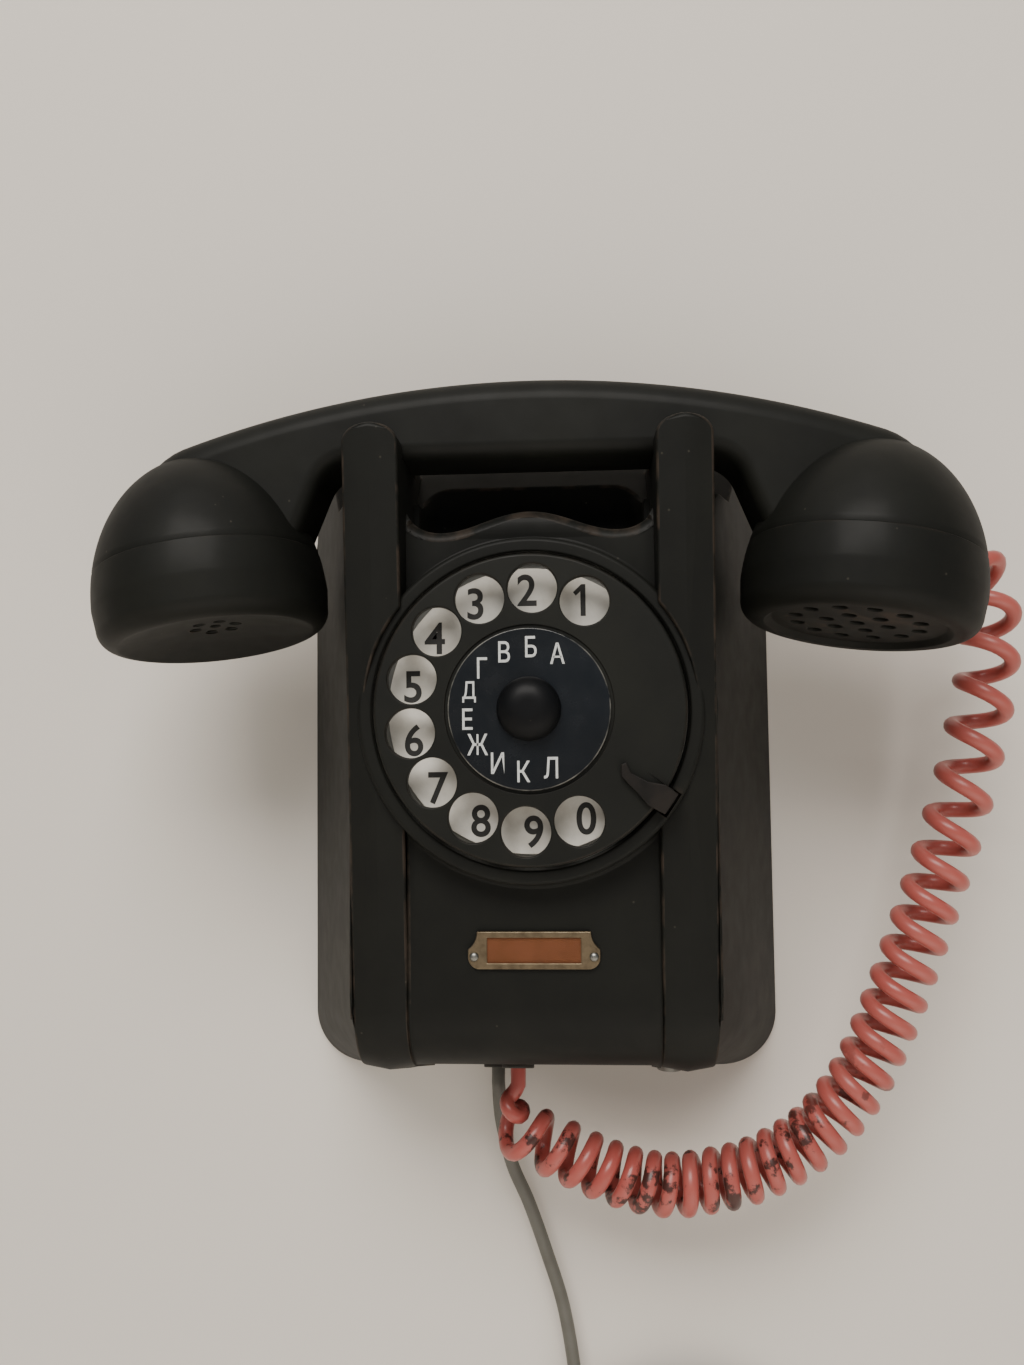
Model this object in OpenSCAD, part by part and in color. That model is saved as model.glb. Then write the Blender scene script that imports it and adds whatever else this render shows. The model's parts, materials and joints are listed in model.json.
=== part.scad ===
// Wall telephone with a rotary dial, a handset across two cradle horns and a curly cord.
// Millimetres. The wall is the plane y = 0, the front looks along -Y, up is +Z.
// Depths (names ending in _d) are distances from the wall towards the front.

/* [Housing] */
// Width of the rear rim at the wall
rim_w = 144; // [136:1:156]
// Height of the rear rim
body_h = 196; // [190:1:206]
// Depth of the front panel
panel_d = 64; // [62:0.5:70]
// Wall thickness of the moulding
wall = 3; // [2.4:0.1:3.6]
// Radius of the lower side edges, from the rear rim to the front
rim_corner = 18; // [14:1:22]
// Upper corner radius of the rear rim
top_corner = 34; // [24:1:40]
// Radius of the lower front edge
front_r = 20; // [16:1:24]
// Slope of the floor in degrees
floor_tilt = 15.6; // [12:0.2:18]
// Height of the shoulders beside the cradle
shoulder_z = 68; // [64:0.5:71]
// Depth at which the back slope meets the top
back_d = 20; // [16:1:24]

/* [Ribs and cradle] */
// Distance between the centre lines of the two ribs
rib_span = 79.4; // [77:0.2:84]
// Width of a rib
rib_w = 14.4; // [13:0.2:16]
// Height of the gable on the face of a rib
rib_gable = 1.3; // [0.6:0.1:2]
// How far a rib stands proud of the panel at its foot
rib_proud = 1.5; // [1:0.1:2.5]
// Forward lean of the face of a rib in degrees
rib_lean = 5.3; // [4:0.1:6.5]
// Height of the cradle floor
cradle_z = 76.2; // [74:0.2:79]
// Height of a horn above the cradle floor
horn_h = 7; // [5:0.5:9]
// Height of the hand trough's floor
trough_z = 49.5; // [48:0.5:51]
// Depth of the hand trough's back wall
trough_d = 40; // [38:0.5:43]
// Middle height of the wavy lip in front of the trough
lip_z = 57; // [56:0.5:59]
// Rise and fall of the wavy lip
lip_wave = 3; // [1:0.5:4]

/* [Dial] */
// Height of the dial axis
dial_z = 10; // [8:0.5:11]
// Diameter of the finger wheel
wheel_dia = 78.4; // [76:0.2:79.4]
// Thickness of the finger wheel
wheel_t = 2.5; // [2:0.1:3]
// Diameter of a finger hole
finger_hole = 12.5; // [11:0.1:13.2]
// Diameter of the circle of finger holes
hole_circle = 60.8; // [59:0.2:62]
// Number of finger holes
hole_count = 10; // [10:1:10]
// Direction of the first finger hole in degrees
first_hole = 62.2; // [60:0.2:64]
// Angle from one finger hole to the next
hole_step = 25.7; // [25:0.1:26]
// Direction of the finger stop in degrees
stop_dir = 325.5; // [323:0.5:328]
// Diameter of the round boss about the dial
boss_dia = 88; // [86:0.5:90]
// Height of the boss above the panel
boss_h = 8.5; // [7.5:0.5:10]
// Diameter of the letter disc
letter_dia = 40.6; // [36:0.2:43]
// Diameter of the number plate behind the finger holes
number_dia = 72.8; // [68:0.4:76]
// Diameter of the centre cap
cap_dia = 16; // [12:0.5:20]
// Height of the centre cap
cap_h = 5.5; // [4:0.5:7]
// Diameter of the dial shaft
shaft_dia = 6; // [5:0.2:7]
// Teeth on the main gear
gear_teeth = 48; // [48:1:48]
// Teeth on the pulse pinion
pinion_teeth = 16; // [16:1:16]
// Tooth module of the gear pair
gear_module = 0.8; // [0.76:0.02:0.84]

/* [Label] */
// Width of the label frame
label_w = 33.8; // [30:0.2:36]
// Height of the label frame
label_h = 9.5; // [8:0.1:11]
// Height of the label's centre
label_z = -51.2; // [-54:0.2:-48]

/* [Handset] */
// Overall length of the handset
handset_l = 238; // [234:1:246]
// Largest diameter of a cap
ear_dia = 62; // [58:0.5:64]
// Height of a cap from its seam to its face
ear_h = 24; // [22:0.5:26]
// Height of a cup's dome above the seam
dome_h = 31; // [29:0.5:33]
// Height of the seam at the cup's axis
seam_z = 50; // [48:0.5:53]
// Inward tilt of a cap in degrees
ear_tilt = 9; // [6:0.5:11]
// Forward lean of a cap in degrees
ear_lean = 5; // [3:0.5:7]
// Height of the handle at its middle
handle_h = 21.5; // [19:0.5:24]
// Thickness of the handle from front to back
handle_t = 22; // [20:0.5:24]
// Radius of the handle's arched top
arch_r = 280; // [260:5:300]
// Length of the straight underside of the handle
grip_l = 104; // [100:1:108]

/* [Cords] */
// Diameter of the handset cord's wire
wire_dia = 4.4; // [3.6:0.1:4.5]
// Outer diameter of a curl
curl_dia = 17.4; // [16:0.2:17.8]
// Diameter of the line cord
line_dia = 4; // [3:0.1:4.2]
// Inner radius of the put-away coil at the cord's centre line
coil_in = 16; // [14:0.5:18]
// Turns in each of the coil's two layers
coil_turns = 4; // [3:1:5]
// Distance between neighbouring turns of the coil
coil_pitch = 5.1; // [5:0.1:5.6]

/* [Wall fixing] */
// Sideways distance between the wall screws
screw_x = 96; // [90:1:100]
// Upright distance between the wall screws
screw_z = 152; // [148:1:154]
// Diameter of a wall screw hole
screw_dia = 5; // [4:0.5:5]
// Thickness of the back plate
plate_t = 1.5; // [1.2:0.1:2]

/* [Hidden] */
$fn = 64;

// Clearances: a running fit, a loose seat and the gap between separate bodies
run = 0.05;
fit = 0.1;
apart = 0.3;
// A length that reaches past everything
far = 400;
// A small overlap for cuts
cut = 0.5;

// Housing
half_h = body_h / 2;
rib_out = rib_span / 2 + rib_w / 2;
rib_in = rib_span / 2 - rib_w / 2;
flare = (rim_w / 2 - rib_out) / (panel_d + 2);
flare_angle = atan(flare);
corner_d = panel_d - front_r;
corner_z = corner_d * tan(floor_tilt) + front_r / cos(floor_tilt) - half_h;
shoulder_r = 10;
ceiling_z = trough_z - wall;

// Cradle and handset
handle_d = panel_d - 7;
cradle_gap = 0.4;
cradle_front = handle_d + handle_t / 2 + cradle_gap;
cradle_back = handle_d - handle_t / 2 - cradle_gap;
horn_top = cradle_z + horn_h;
horn_r = 4;
under_z = cradle_z + apart;
top_z = under_z + handle_h;
cup_x = handset_l / 2 - ear_dia / 2;
neck_x = grip_l / 2;
neck_drop = 16;
neck_lean = 8;
spigot_r = ear_dia / 2 - 4;
spigot_h = 8;
capsule_r = spigot_r - 2.5;
capsule_h = 14;
capsule_proud = 4;
cap_bulge = 10;

// Dial, all depths from the wall
bezel_d = panel_d + boss_h;
wheel_gap = 0.7;
wheel_back = bezel_d + wheel_gap;
wheel_front = wheel_back + wheel_t;
letter_t = 0.8;
letter_front = wheel_front + letter_t;
bore_r = wheel_dia / 2 + 1;
ledge_r = bore_r - 4.2;
base_t = 3;
base_front = panel_d + base_t;
number_t = 1;
shaft_r = shaft_dia / 2;
bush_r = shaft_r + 3;
bush_back = panel_d - 14;
gear_t = 4;
gear_front = bush_back - 6;
gear_back = gear_front - gear_t;
gear_r = gear_teeth * gear_module / 2;
pinion_r = pinion_teeth * gear_module / 2;
pulse_x = -(gear_r + pinion_r);
pulse_r = 2;
addendum = 0.55;
dedendum = 0.85;
worm_wheel_r = 9;
worm_wheel_teeth = 24;
worm_wheel_d = panel_d - 11.5;
worm_r = 2.5;
governor_x = pulse_x + worm_wheel_r + worm_r + apart;
governor_half = 20;
spindle_r = 1;
weight_r = 6;
cam_r = 7;
cam_d = panel_d - 6;
screw_ring = (ledge_r + bore_r) / 2;
hole_pitch = hole_circle * sin(hole_step / 2);
hole_edge = min(0.4, (hole_pitch - finger_hole) / 2 - fit);
stop_t = 1.2;

// Hook switch
hook_x = rib_span / 2;
plunger_r = 3.8;
hook_travel = 5;
yoke_t = 3;
yoke_top = ceiling_z - hook_travel - 2;
yoke_z = yoke_top - yoke_t;
spring_free = 16.5;
foot_z = yoke_z - spring_free;
foot_t = 1.5;
hook_plate_d = handle_d - 10.5;
spring_r = 3;
spring_wire = 0.8;
spring_curls = 5;

// Ringer
gong_x = 27;
gong_z = 38 - half_h;
gong_r = 23;
gong_h = 14;
gong_d = 8;
gong_t = 1.5;
clapper_z = gong_z + 20.75;
ringer_d = 14;
pin_r = 1;
bracket_t = 1.5;
core_x = 9;
core_r = 2.5;
core_z = clapper_z + 4.2;
yoke_bar_z = clapper_z + 31.25;
yoke_bar_t = 4;
bobbin_r = 6.2;
bobbin_l = 24;
bobbin_rim = 1.5;

// Cord exits, square to the sloping floor
cord_x = -6.5;
cord_d = 28;
line_x = -13.5;
line_d = 11;
flange_t = 1.2;

// A point on the floor's outer face at depth d
function floor_z(d) = d * tan(floor_tilt) - half_h;
// The direction square to the floor, pointing out
floor_out = [0, -sin(floor_tilt), -cos(floor_tilt)];
// Half of the body's width at depth d
function half_w(d) = rim_w / 2 - flare * d;
// Points along an arc
function arc(c, r, a0, a1, n = 12) =
    [for (i = [0:n]) let (a = a0 + (a1 - a0) * i / n) c + r * [cos(a), sin(a)]];
// An upright rectangle with its own radius at the lower and the upper corners
function round_rect(hw, z0, z1, rb, rt) = concat(
    arc([hw - rb, z0 + rb], rb, -90, 0), arc([hw - rt, z1 - rt], rt, 0, 90),
    arc([rt - hw, z1 - rt], rt, 90, 180), arc([rb - hw, z0 + rb], rb, 180, 270));

// Extrude a (depth, height) profile across X, over a width w about the middle
module across(w) {
    rotate([90, 0, -90]) linear_extrude(w, center = true) children();
}
// Extrude an (x, height) outline from depth d0 to depth d1
module forward(d0, d1) {
    rotate([90, 0, 0]) translate([0, 0, d0]) linear_extrude(d1 - d0) children();
}
// Extrude an (x, depth) plan from height z0 to height z1
module upward(z0, z1) {
    translate([0, 0, z0]) linear_extrude(z1 - z0) mirror([0, 1]) children();
}
// A frame on the dial axis: x to the right, y up, z the depth
module on_dial() {
    translate([0, 0, dial_z]) rotate([90, 0, 0]) children();
}
// A cylinder about the dial's frame from depth d0 to depth d1
module disc(r, d0, d1) {
    translate([0, 0, d0]) cylinder(r = r, h = d1 - d0);
}
// A box given by its corners in x, depth and height
module box(x0, x1, d0, d1, z0, z1) {
    translate([x0, -d1, z0]) cube([x1 - x0, d1 - d0, z1 - z0]);
}
// A frame on the floor's outer face, z pointing out of the housing
module on_floor(x, d) {
    translate([x, -d, floor_z(d)]) rotate([180 - floor_tilt, 0, 0]) children();
}
// A frame at a cup's seam, the face looking along -z
module on_cup(side) {
    translate([side * cup_x, -handle_d, seam_z]) rotate([-ear_lean, side * ear_tilt, 0]) children();
}

// Housing
function body_profile() = concat(
    [[0, -half_h]],
    arc([corner_d, corner_z], front_r, floor_tilt - 90, 0, 16),
    arc([panel_d - shoulder_r, shoulder_z - shoulder_r], shoulder_r, 0, 90),
    [[cradle_back, shoulder_z], [back_d, half_h], [0, half_h]]);
// The back slope seen from the side: its depth at height z, moved in by t
function slope_d(z, t) =
    cradle_back - (z - shoulder_z) * (cradle_back - back_d) / (half_h - shoulder_z)
    - t * sqrt(1 + pow((cradle_back - back_d) / (half_h - shoulder_z), 2));
// The height at which the moved-in slope passes depth d
function slope_z(d, t) =
    shoulder_z + (slope_d(shoulder_z, t) - d) * (half_h - shoulder_z) / (cradle_back - back_d);
function cavity_profile() = concat(
    [[-cut, floor_z(-cut) + wall / cos(floor_tilt)]],
    arc([corner_d, corner_z], front_r - wall, floor_tilt - 90, 0, 16),
    [[panel_d - wall, ceiling_z], [trough_d - wall, ceiling_z],
     [trough_d - wall, slope_z(trough_d - wall, wall)],
     [slope_d(half_h - wall, wall), half_h - wall], [-cut, half_h - wall]]);
function plan(t) = [
    [-half_w(-cut) + t, -cut], [half_w(-cut) - t, -cut],
    [half_w(panel_d + 1) - t, panel_d + 1], [t - half_w(panel_d + 1), panel_d + 1]];

// What the rounding takes off the two straight edges where the sides meet the floor: outside radius r
side_out = [cos(flare_angle), -sin(flare_angle), 0];
edge_lean = side_out * floor_out;
edge_axis = [rim_w / 2, 0, -half_h] - rim_corner / (1 + edge_lean) * (side_out + floor_out);
edge_back = unit([flare, 1, -tan(floor_tilt)]);
edge_down = cross(edge_back, side_out);
module edge_waste(r) {
    reach = 2 * rim_corner;
    floor_dir = [edge_lean, sqrt(1 - edge_lean * edge_lean)];
    for (side = [0, 1]) mirror([side, 0, 0])
        multmatrix([for (k = [0:2]) [side_out[k], edge_down[k], edge_back[k], edge_axis[k]]])
            difference() {
                linear_extrude(far, center = true)
                    polygon(reach * [[0, 0], [1, 0], [1, 0] + floor_dir, floor_dir]);
                cylinder(r = r, h = far + 1, center = true);
            }
}
module body_form() {
    difference() {
        intersection() {
            across(rim_w) polygon(body_profile());
            upward(-half_h - 1, half_h + 1) polygon(plan(0));
            forward(0, panel_d + 1)
                polygon(round_rect(rim_w / 2, -half_h - 1, half_h, cut, top_corner));
        }
        edge_waste(rim_corner);
    }
}
module cavity() {
    inset = wall / cos(flare_angle);
    difference() {
        intersection() {
            across(rim_w) polygon(cavity_profile());
            upward(-half_h, half_h) polygon(plan(inset));
            forward(-cut, panel_d)
                polygon(round_rect(rim_w / 2 - wall, -half_h, half_h - wall, cut, top_corner - wall));
        }
        edge_waste(rim_corner - wall);
    }
}

// Ribs: the face leans forward from the arc at the foot up to the horn
rib_foot_r = front_r + rib_proud;
foot_arc = [corner_d + rib_foot_r * cos(rib_lean), corner_z - rib_foot_r * sin(rib_lean)];
function rib_front(z) = foot_arc[0] + (z - foot_arc[1]) * tan(rib_lean);
rib_root_d = 14;
// Side view of a rib, left oversize at the front and below, where the gable trims it
function rib_profile() = concat(
    [[rib_root_d, -half_h - far / 8], [rib_front(0) + far / 8, -half_h - far / 8]],
    arc([rib_front(horn_top - horn_r) - horn_r, horn_top - horn_r], horn_r, 0, 90, 6),
    [[cradle_front, horn_top], [cradle_front, cradle_z], [cradle_back, cradle_z],
     [cradle_back, horn_top - 1], [slope_d(horn_top - 1, wall / 2), horn_top - 1],
     [rib_root_d, shoulder_z - shoulder_r]]);
// Flat gable of the rib's section, with its ridge at y = 0
module rib_section()
    polygon([[-rib_w / 2, rib_gable], [0, 0], [rib_w / 2, rib_gable], [rib_w / 2, far], [-rib_w / 2, far]]);
// What the rounded foot leaves out of the corner between the rib's face and its underside
module rib_foot_waste() {
    face = [cos(rib_lean), -sin(rib_lean)];
    under = [sin(floor_tilt), -cos(floor_tilt)];
    reach = 3 * front_r;
    side = rib_w / 2 + 1;
    edge = rib_foot_r - rib_gable * side / (rib_w / 2);
    translate([0, -corner_d, corner_z]) difference() {
        across(rib_w + 1) polygon([[0, 0], reach * face, reach * (face + under), reach * under]);
        rotate([0, 90, 0]) rotate_extrude()
            polygon([[0, -side], [edge, -side], [rib_foot_r, 0], [edge, side], [0, side]]);
    }
}
module rib(side) {
    horn_crown = 5;
    translate([side * rib_span / 2, 0, 0]) difference() {
        intersection() {
            across(rib_w) polygon(rib_profile());
            translate([0, -rib_front(0), 0]) rotate([rib_lean, 0, 0])
                linear_extrude(far, center = true) rib_section();
            on_floor(0, 0) translate([0, 0, rib_proud]) rotate([-90, 0, 0])
                linear_extrude(far, center = true) rib_section();
            forward(0, far / 2) union() {
                translate([-rib_w / 2, -half_h - 2 * rib_proud])
                    square([rib_w, half_h + 2 * rib_proud + horn_top - horn_crown]);
                translate([0, horn_top - horn_crown])
                    polygon([for (i = [0:12]) [rib_w / 2 * cos(15 * i), horn_crown * sin(15 * i)]]);
            }
        }
        rib_foot_waste();
    }
}

// The wavy lip between the ribs and the open trough behind it
function lip(x) = abs(x) <= lip_x ? lip_z + lip_wave * cos(180 * x / lip_x)
    : lip_z - lip_wave + lip_rise * (1 - cos(180 * (abs(x) - lip_x) / (rib_in - lip_x))) / 2;
lip_x = rib_in * 0.72;
lip_rise = lip_wave * 2 - 0.5;
lip_steps = 28;
trough_side = 1.5;
trough_corner = 8;
module trough() {
    hw = rib_in - trough_side;
    depth = panel_d - wall - trough_d;
    upward(trough_z, far) translate([0, trough_d])
        polygon(round_rect(hw, 0, depth, trough_corner, trough_corner / 2));
    forward(panel_d - wall - cut, far)
        polygon(concat([[rib_in, far], [-rib_in, far]],
            [for (i = [0:lip_steps]) let (x = rib_in * (2 * i / lip_steps - 1)) [x, lip(x)]]));
}

module dial_boss() {
    r = boss_dia / 2;
    fillet = 2;
    on_dial() rotate_extrude()
        polygon(concat([[ledge_r, panel_d - 1], [r + fillet, panel_d - 1]],
            [for (a = [0:15:90]) [r + fillet - fillet * sin(a), panel_d + fillet - fillet * cos(a)]],
            [[r, bezel_d - 1], [r - 1, bezel_d], [ledge_r, bezel_d]]));
}
module dial_bore() {
    on_dial() {
        disc(boss_dia / 2 + fit, bezel_d, far / 2);
        disc(bore_r, panel_d, far / 2);
        disc(ledge_r, panel_d - wall - cut, panel_d + cut);
        for (a = [0, 180, 270])
            rotate(a) translate([screw_ring, 0, 0]) disc(1.3, panel_d - wall - cut, panel_d + cut);
        rotate(stop_dir) translate([bore_r - 1, -3.5, base_front]) cube([4, 7, far / 2]);
    }
}
housing_screw_x = rib_span / 2 - 1.7;
top_lug_x = 30;
housing_screw_d = 12;
lug_reach = 4.5;
lug_z = floor_z(housing_screw_d + lug_reach) + wall / cos(floor_tilt) + apart;
lug_t = 2;
seat_z = floor_z(housing_screw_d) + 0.2;
housing_screw_r = 1.6;
housing_head_r = 3.8;
module housing() {
    color("#1f1f1c") difference() {
        union() {
            body_form();
            for (side = [-1, 1]) rib(side);
            dial_boss();
        }
        cavity();
        trough();
        dial_bore();
        for (side = [-1, 1])
            translate([side * hook_x, -handle_d, yoke_top]) cylinder(r = plunger_r + run, h = far / 2);
        grommet_hole(cord_x, cord_d, wire_dia);
        grommet_hole(line_x, line_d, line_dia);
        translate([housing_screw_x, -housing_screw_d, -half_h - 1]) {
            cylinder(r = housing_screw_r + 0.5, h = 4 * wall);
            cylinder(r = housing_head_r + 0.4, h = seat_z + half_h + 1);
        }
        for (side = [-1, 1])
            translate([side * rivet_x, 0, label_z + rivet_z]) rotate([90, 0, 0])
                disc(rivet_r + run, panel_d - wall - cut, panel_d + cut);
    }
}

// Back plate, inside the rim, with two lugs under the top wall and one above the floor screw
module back_plate() {
    inset = wall / cos(flare_angle) + flare * plate_t + apart;
    lug_w = 12;
    top = half_h - wall - apart;
    color("#8d9094") difference() {
        union() {
            forward(0, plate_t)
                polygon(round_rect(rim_w / 2 - inset, wall + plate_t + apart - half_h, top,
                    rim_corner, top_corner - wall));
            for (side = [-1, 1])
                translate([side * top_lug_x, 0, 0])
                    box(-lug_w / 2, lug_w / 2, 0, 10, top - lug_t, top);
            translate([housing_screw_x, 0, 0])
                box(-lug_w / 2, lug_w / 2, 0, housing_screw_d + lug_reach, lug_z, lug_z + lug_t);
        }
        for (x = [-1, 1], z = [-1, 1])
            translate([x * screw_x / 2, 0, z * screw_z / 2]) rotate([90, 0, 0])
                translate([0, 0, -1]) cylinder(d = screw_dia, h = plate_t + 2);
        translate([housing_screw_x, -housing_screw_d, lug_z - 1])
            cylinder(r = housing_screw_r + run, h = lug_t + 2);
    }
}
module housing_screw() {
    color("#b0aca0") translate([housing_screw_x, -housing_screw_d, seat_z]) {
        head = 1.4;
        cylinder(r = housing_screw_r, h = lug_z + lug_t + 1 - seat_z);
        difference() {
            translate([0, 0, -head]) cylinder(r = housing_head_r, h = head);
            translate([-4, -0.5, -head - 0.5]) cube([8, 1, 1.2]);
        }
    }
}

// Label: frame with ears at its lower corners, card and window held in a pocket behind it
frame_t = 1.2;
card_t = 0.4;
label_border = 4.9;
rivet_x = label_w / 2 - 1.6;
rivet_z = 3.2 - label_h / 2;
rivet_r = 0.6;
window_w = label_w - 2 * label_border;
window_h = label_h - 3.1;
pocket_edge = 0.7;
card_w = window_w + 2 * pocket_edge;
card_h = window_h + 2 * pocket_edge;
module label_frame() {
    w = label_w / 2;
    h = label_h / 2;
    ear_round = 3;
    waist = 2.3;
    waist_r = 5.5;
    color("#968c78") translate([0, 0, label_z]) difference() {
        forward(panel_d, panel_d + frame_t) difference() {
            polygon(round_rect(w, -h, h, ear_round, cut));
            for (side = [-1, 1]) translate([side * (w - waist + waist_r), h]) circle(waist_r);
        }
        forward(panel_d - 1, panel_d + frame_t + 1) square([window_w, window_h], center = true);
        forward(panel_d - 1, panel_d + 2 * card_t)
            square([card_w + 2 * fit, card_h + 2 * fit], center = true);
        for (side = [-1, 1])
            translate([side * rivet_x, 0, rivet_z]) rotate([90, 0, 0])
                disc(rivet_r + run, panel_d - 1, panel_d + frame_t + 1);
    }
}
module label_sheet(d0, d1) {
    translate([0, 0, label_z]) forward(d0, d1)
        square([card_w, card_h], center = true);
}
module label_card() {
    color("#a55a28") label_sheet(panel_d, panel_d + card_t);
}
module label_window() {
    color("#d8d2c0") label_sheet(panel_d + card_t, panel_d + 2 * card_t);
}
module label_rivets() {
    head = 1.2;
    color("#c9c3b2") for (side = [-1, 1])
        translate([side * rivet_x, 0, label_z + rivet_z]) rotate([90, 0, 0]) {
            disc(rivet_r, panel_d - wall, panel_d + frame_t);
            translate([0, 0, panel_d + frame_t]) rotate_extrude()
                polygon([for (i = [0:6]) head * [cos(15 * i), 0.7 * sin(15 * i)], [0, 0]]);
        }
}

// Dial
module dial_base() {
    block_w = 6;
    block_t = 4;
    block_back = worm_wheel_d - 3.5;
    color("#a9a598") on_dial() difference() {
        union() {
            disc(bore_r - fit, panel_d, base_front);
            disc(bush_r, bush_back, panel_d);
            for (side = [-1, 1])
                translate([governor_x - block_w / 2, side * governor_half - block_t / 2, block_back])
                    cube([block_w, block_t, panel_d - block_back]);
        }
        disc(shaft_r + run, bush_back - 1, base_front + 1);
        translate([pulse_x, 0, 0]) disc(pulse_r + run, panel_d - 1, base_front - 0.5);
        translate([governor_x, -governor_half - block_t, worm_wheel_d]) rotate([-90, 0, 0])
            cylinder(r = spindle_r + run, h = 2 * governor_half + 2 * block_t);
        for (a = [0, 180, 270])
            rotate(a) translate([screw_ring, 0, 0]) disc(1.2 + run, panel_d - 1, base_front - 0.5);
        rotate(stop_dir) translate([bore_r - 1, -3.5, panel_d - 1]) cube([4, 7, base_t + 2]);
    }
}
module dial_screws() {
    head = 1.8;
    color("#b0aca0") on_dial() for (a = [0, 180, 270]) rotate(a) translate([screw_ring, 0, 0]) {
        disc(1.2, panel_d - wall, base_front - 1);
        difference() {
            disc(2.1, panel_d - wall - head, panel_d - wall);
            translate([-3, -0.4, panel_d - wall - head - 1]) cube([6, 0.8, 1.8]);
        }
    }
}
module number_plate() {
    color("#e6e3da") on_dial() difference() {
        disc(number_dia / 2, base_front, base_front + number_t);
        disc(letter_dia / 2 - 4, base_front - 1, base_front + 2);
    }
}
module finger_stop() {
    hook_d = wheel_front + wheel_gap;
    reach = bore_r - 13;
    color("#2a2926") on_dial() rotate(stop_dir) {
        translate([bore_r + 0.6, -3, base_front]) cube([stop_t, 6, hook_d + stop_t - base_front]);
        translate([0, 0, hook_d]) linear_extrude(stop_t)
            polygon([[bore_r + 0.6 + stop_t, -3], [bore_r + 0.6 + stop_t, 3], [bore_r - 2, 3.2],
                [bore_r - 6, 1.4], [reach + 2.5, 0.9], [reach, 2.4], [reach - 0.8, 1.2],
                [reach + 0.8, -1.2], [bore_r - 6.5, -2.4], [bore_r - 3, -3.4]]);
    }
}
// A flat spring wound as a spiral about the bush
module dial_spring() {
    turns = 4;
    steps = 24;
    strip = 0.5;
    inner = bush_r + 2;
    pitch = 2.1;
    color("#77787a") on_dial() translate([0, 0, panel_d - 3.5]) linear_extrude(3.5)
        polygon(concat(
            [for (i = [0:turns * steps]) let (a = i * 360 / steps, r = inner + pitch * i / steps)
                r * [cos(a), sin(a)]],
            [for (i = [turns * steps:-1:0]) let (a = i * 360 / steps, r = inner + pitch * i / steps + strip)
                r * [cos(a), sin(a)]]));
}
module pulse_contacts() {
    block_x = pulse_x - 7.4;
    leaf = 0.5;
    color("#8a6b3a") on_dial() translate([0, cam_r, 0]) {
        translate([block_x, 0.5, cam_d - 2]) cube([3.5, 4.5, panel_d - cam_d + 2]);
        for (y = [1, 3]) translate([block_x, y, cam_d - 2]) cube([13, leaf, 4]);
    }
}
// A finger hole with its softened front edge, as one turned cutter
module finger_cut() {
    r = finger_hole / 2;
    rotate_extrude() polygon([[0, wheel_back - 1], [r, wheel_back - 1], [r, wheel_front - hole_edge],
        [r + hole_edge + run, wheel_front + run], [0, wheel_front + run]]);
}
module finger_wheel() {
    hub_r = 10;
    chamfer = 0.6;
    color("#1c1c1b") on_dial() difference() {
        union() {
            rotate_extrude() polygon([[0, wheel_back], [wheel_dia / 2 - chamfer, wheel_back],
                [wheel_dia / 2, wheel_back + chamfer], [wheel_dia / 2, wheel_front - chamfer],
                [wheel_dia / 2 - chamfer, wheel_front], [0, wheel_front]]);
            disc(hub_r, base_front + number_t + 0.5, wheel_back + cut);
        }
        disc(shaft_r + run, panel_d, wheel_front - 0.5);
        for (i = [0:hole_count - 1]) rotate(first_hole + hole_step * i)
            translate([hole_circle / 2, 0, 0]) finger_cut();
    }
}
module letter_disc() {
    color("#15171b") on_dial() disc(letter_dia / 2, wheel_front, letter_front);
}
module centre_cap() {
    color("#121214") on_dial() translate([0, 0, letter_front]) rotate_extrude()
        polygon(concat([[0, 0], [cap_dia / 2, 0]],
            [for (i = [0:9]) [cap_dia / 2 * (0.25 + 0.75 * cos(10 * i)), 1 + (cap_h - 1) * sin(10 * i)]],
            [[0, cap_h]]));
}
module dial_shaft() {
    color("#b8b8b4") on_dial() disc(shaft_r, gear_back - 1.5, wheel_front - 0.6);
}
// Teeth as straight-sided flanks, thinned for backlash
function gear_outline(teeth, r, root_w, tip_w) = [for (i = [0:teeth - 1], k = [0:3])
    let (rr = (k == 0 || k == 3) ? r - dedendum : r + addendum,
         w = (k == 0 || k == 3) ? root_w : tip_w,
         a = 360 * i / teeth + (k < 2 ? -1 : 1) * w / 2 / rr * 180 / PI)
    rr * [cos(a), sin(a)]];
tooth_root = 1.3;
tooth_tip = 0.5;
module main_gear() {
    color("#b59a55") on_dial() difference() {
        translate([0, 0, gear_back]) linear_extrude(gear_t)
            polygon(gear_outline(gear_teeth, gear_r, tooth_root, tooth_tip));
        disc(shaft_r + run, gear_back - 1, gear_front + 1);
        for (a = [0:90:270]) rotate(a + 45) translate([gear_r * 0.58, 0, 0])
            disc(4, gear_back - 1, gear_front + 1);
    }
}
module pulse_gear() {
    lobe_r = 2.5;
    color("#b59a55") on_dial() translate([pulse_x, 0, 0]) {
        disc(pulse_r, gear_back - 1.5, base_front - 1);
        translate([0, 0, gear_back - 0.5]) linear_extrude(gear_t + 1) rotate(180 / pinion_teeth)
            polygon(gear_outline(pinion_teeth, pinion_r, tooth_root, tooth_tip));
        translate([0, 0, worm_wheel_d - 1.5]) linear_extrude(3)
            polygon(gear_outline(worm_wheel_teeth, worm_wheel_r - addendum, tooth_root, tooth_tip));
        translate([0, 0, cam_d - 1]) linear_extrude(2) union() {
            circle(r = cam_r - 2);
            for (side = [-1, 1]) translate([side * (cam_r - lobe_r), 0]) circle(r = lobe_r);
        }
    }
}
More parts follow.
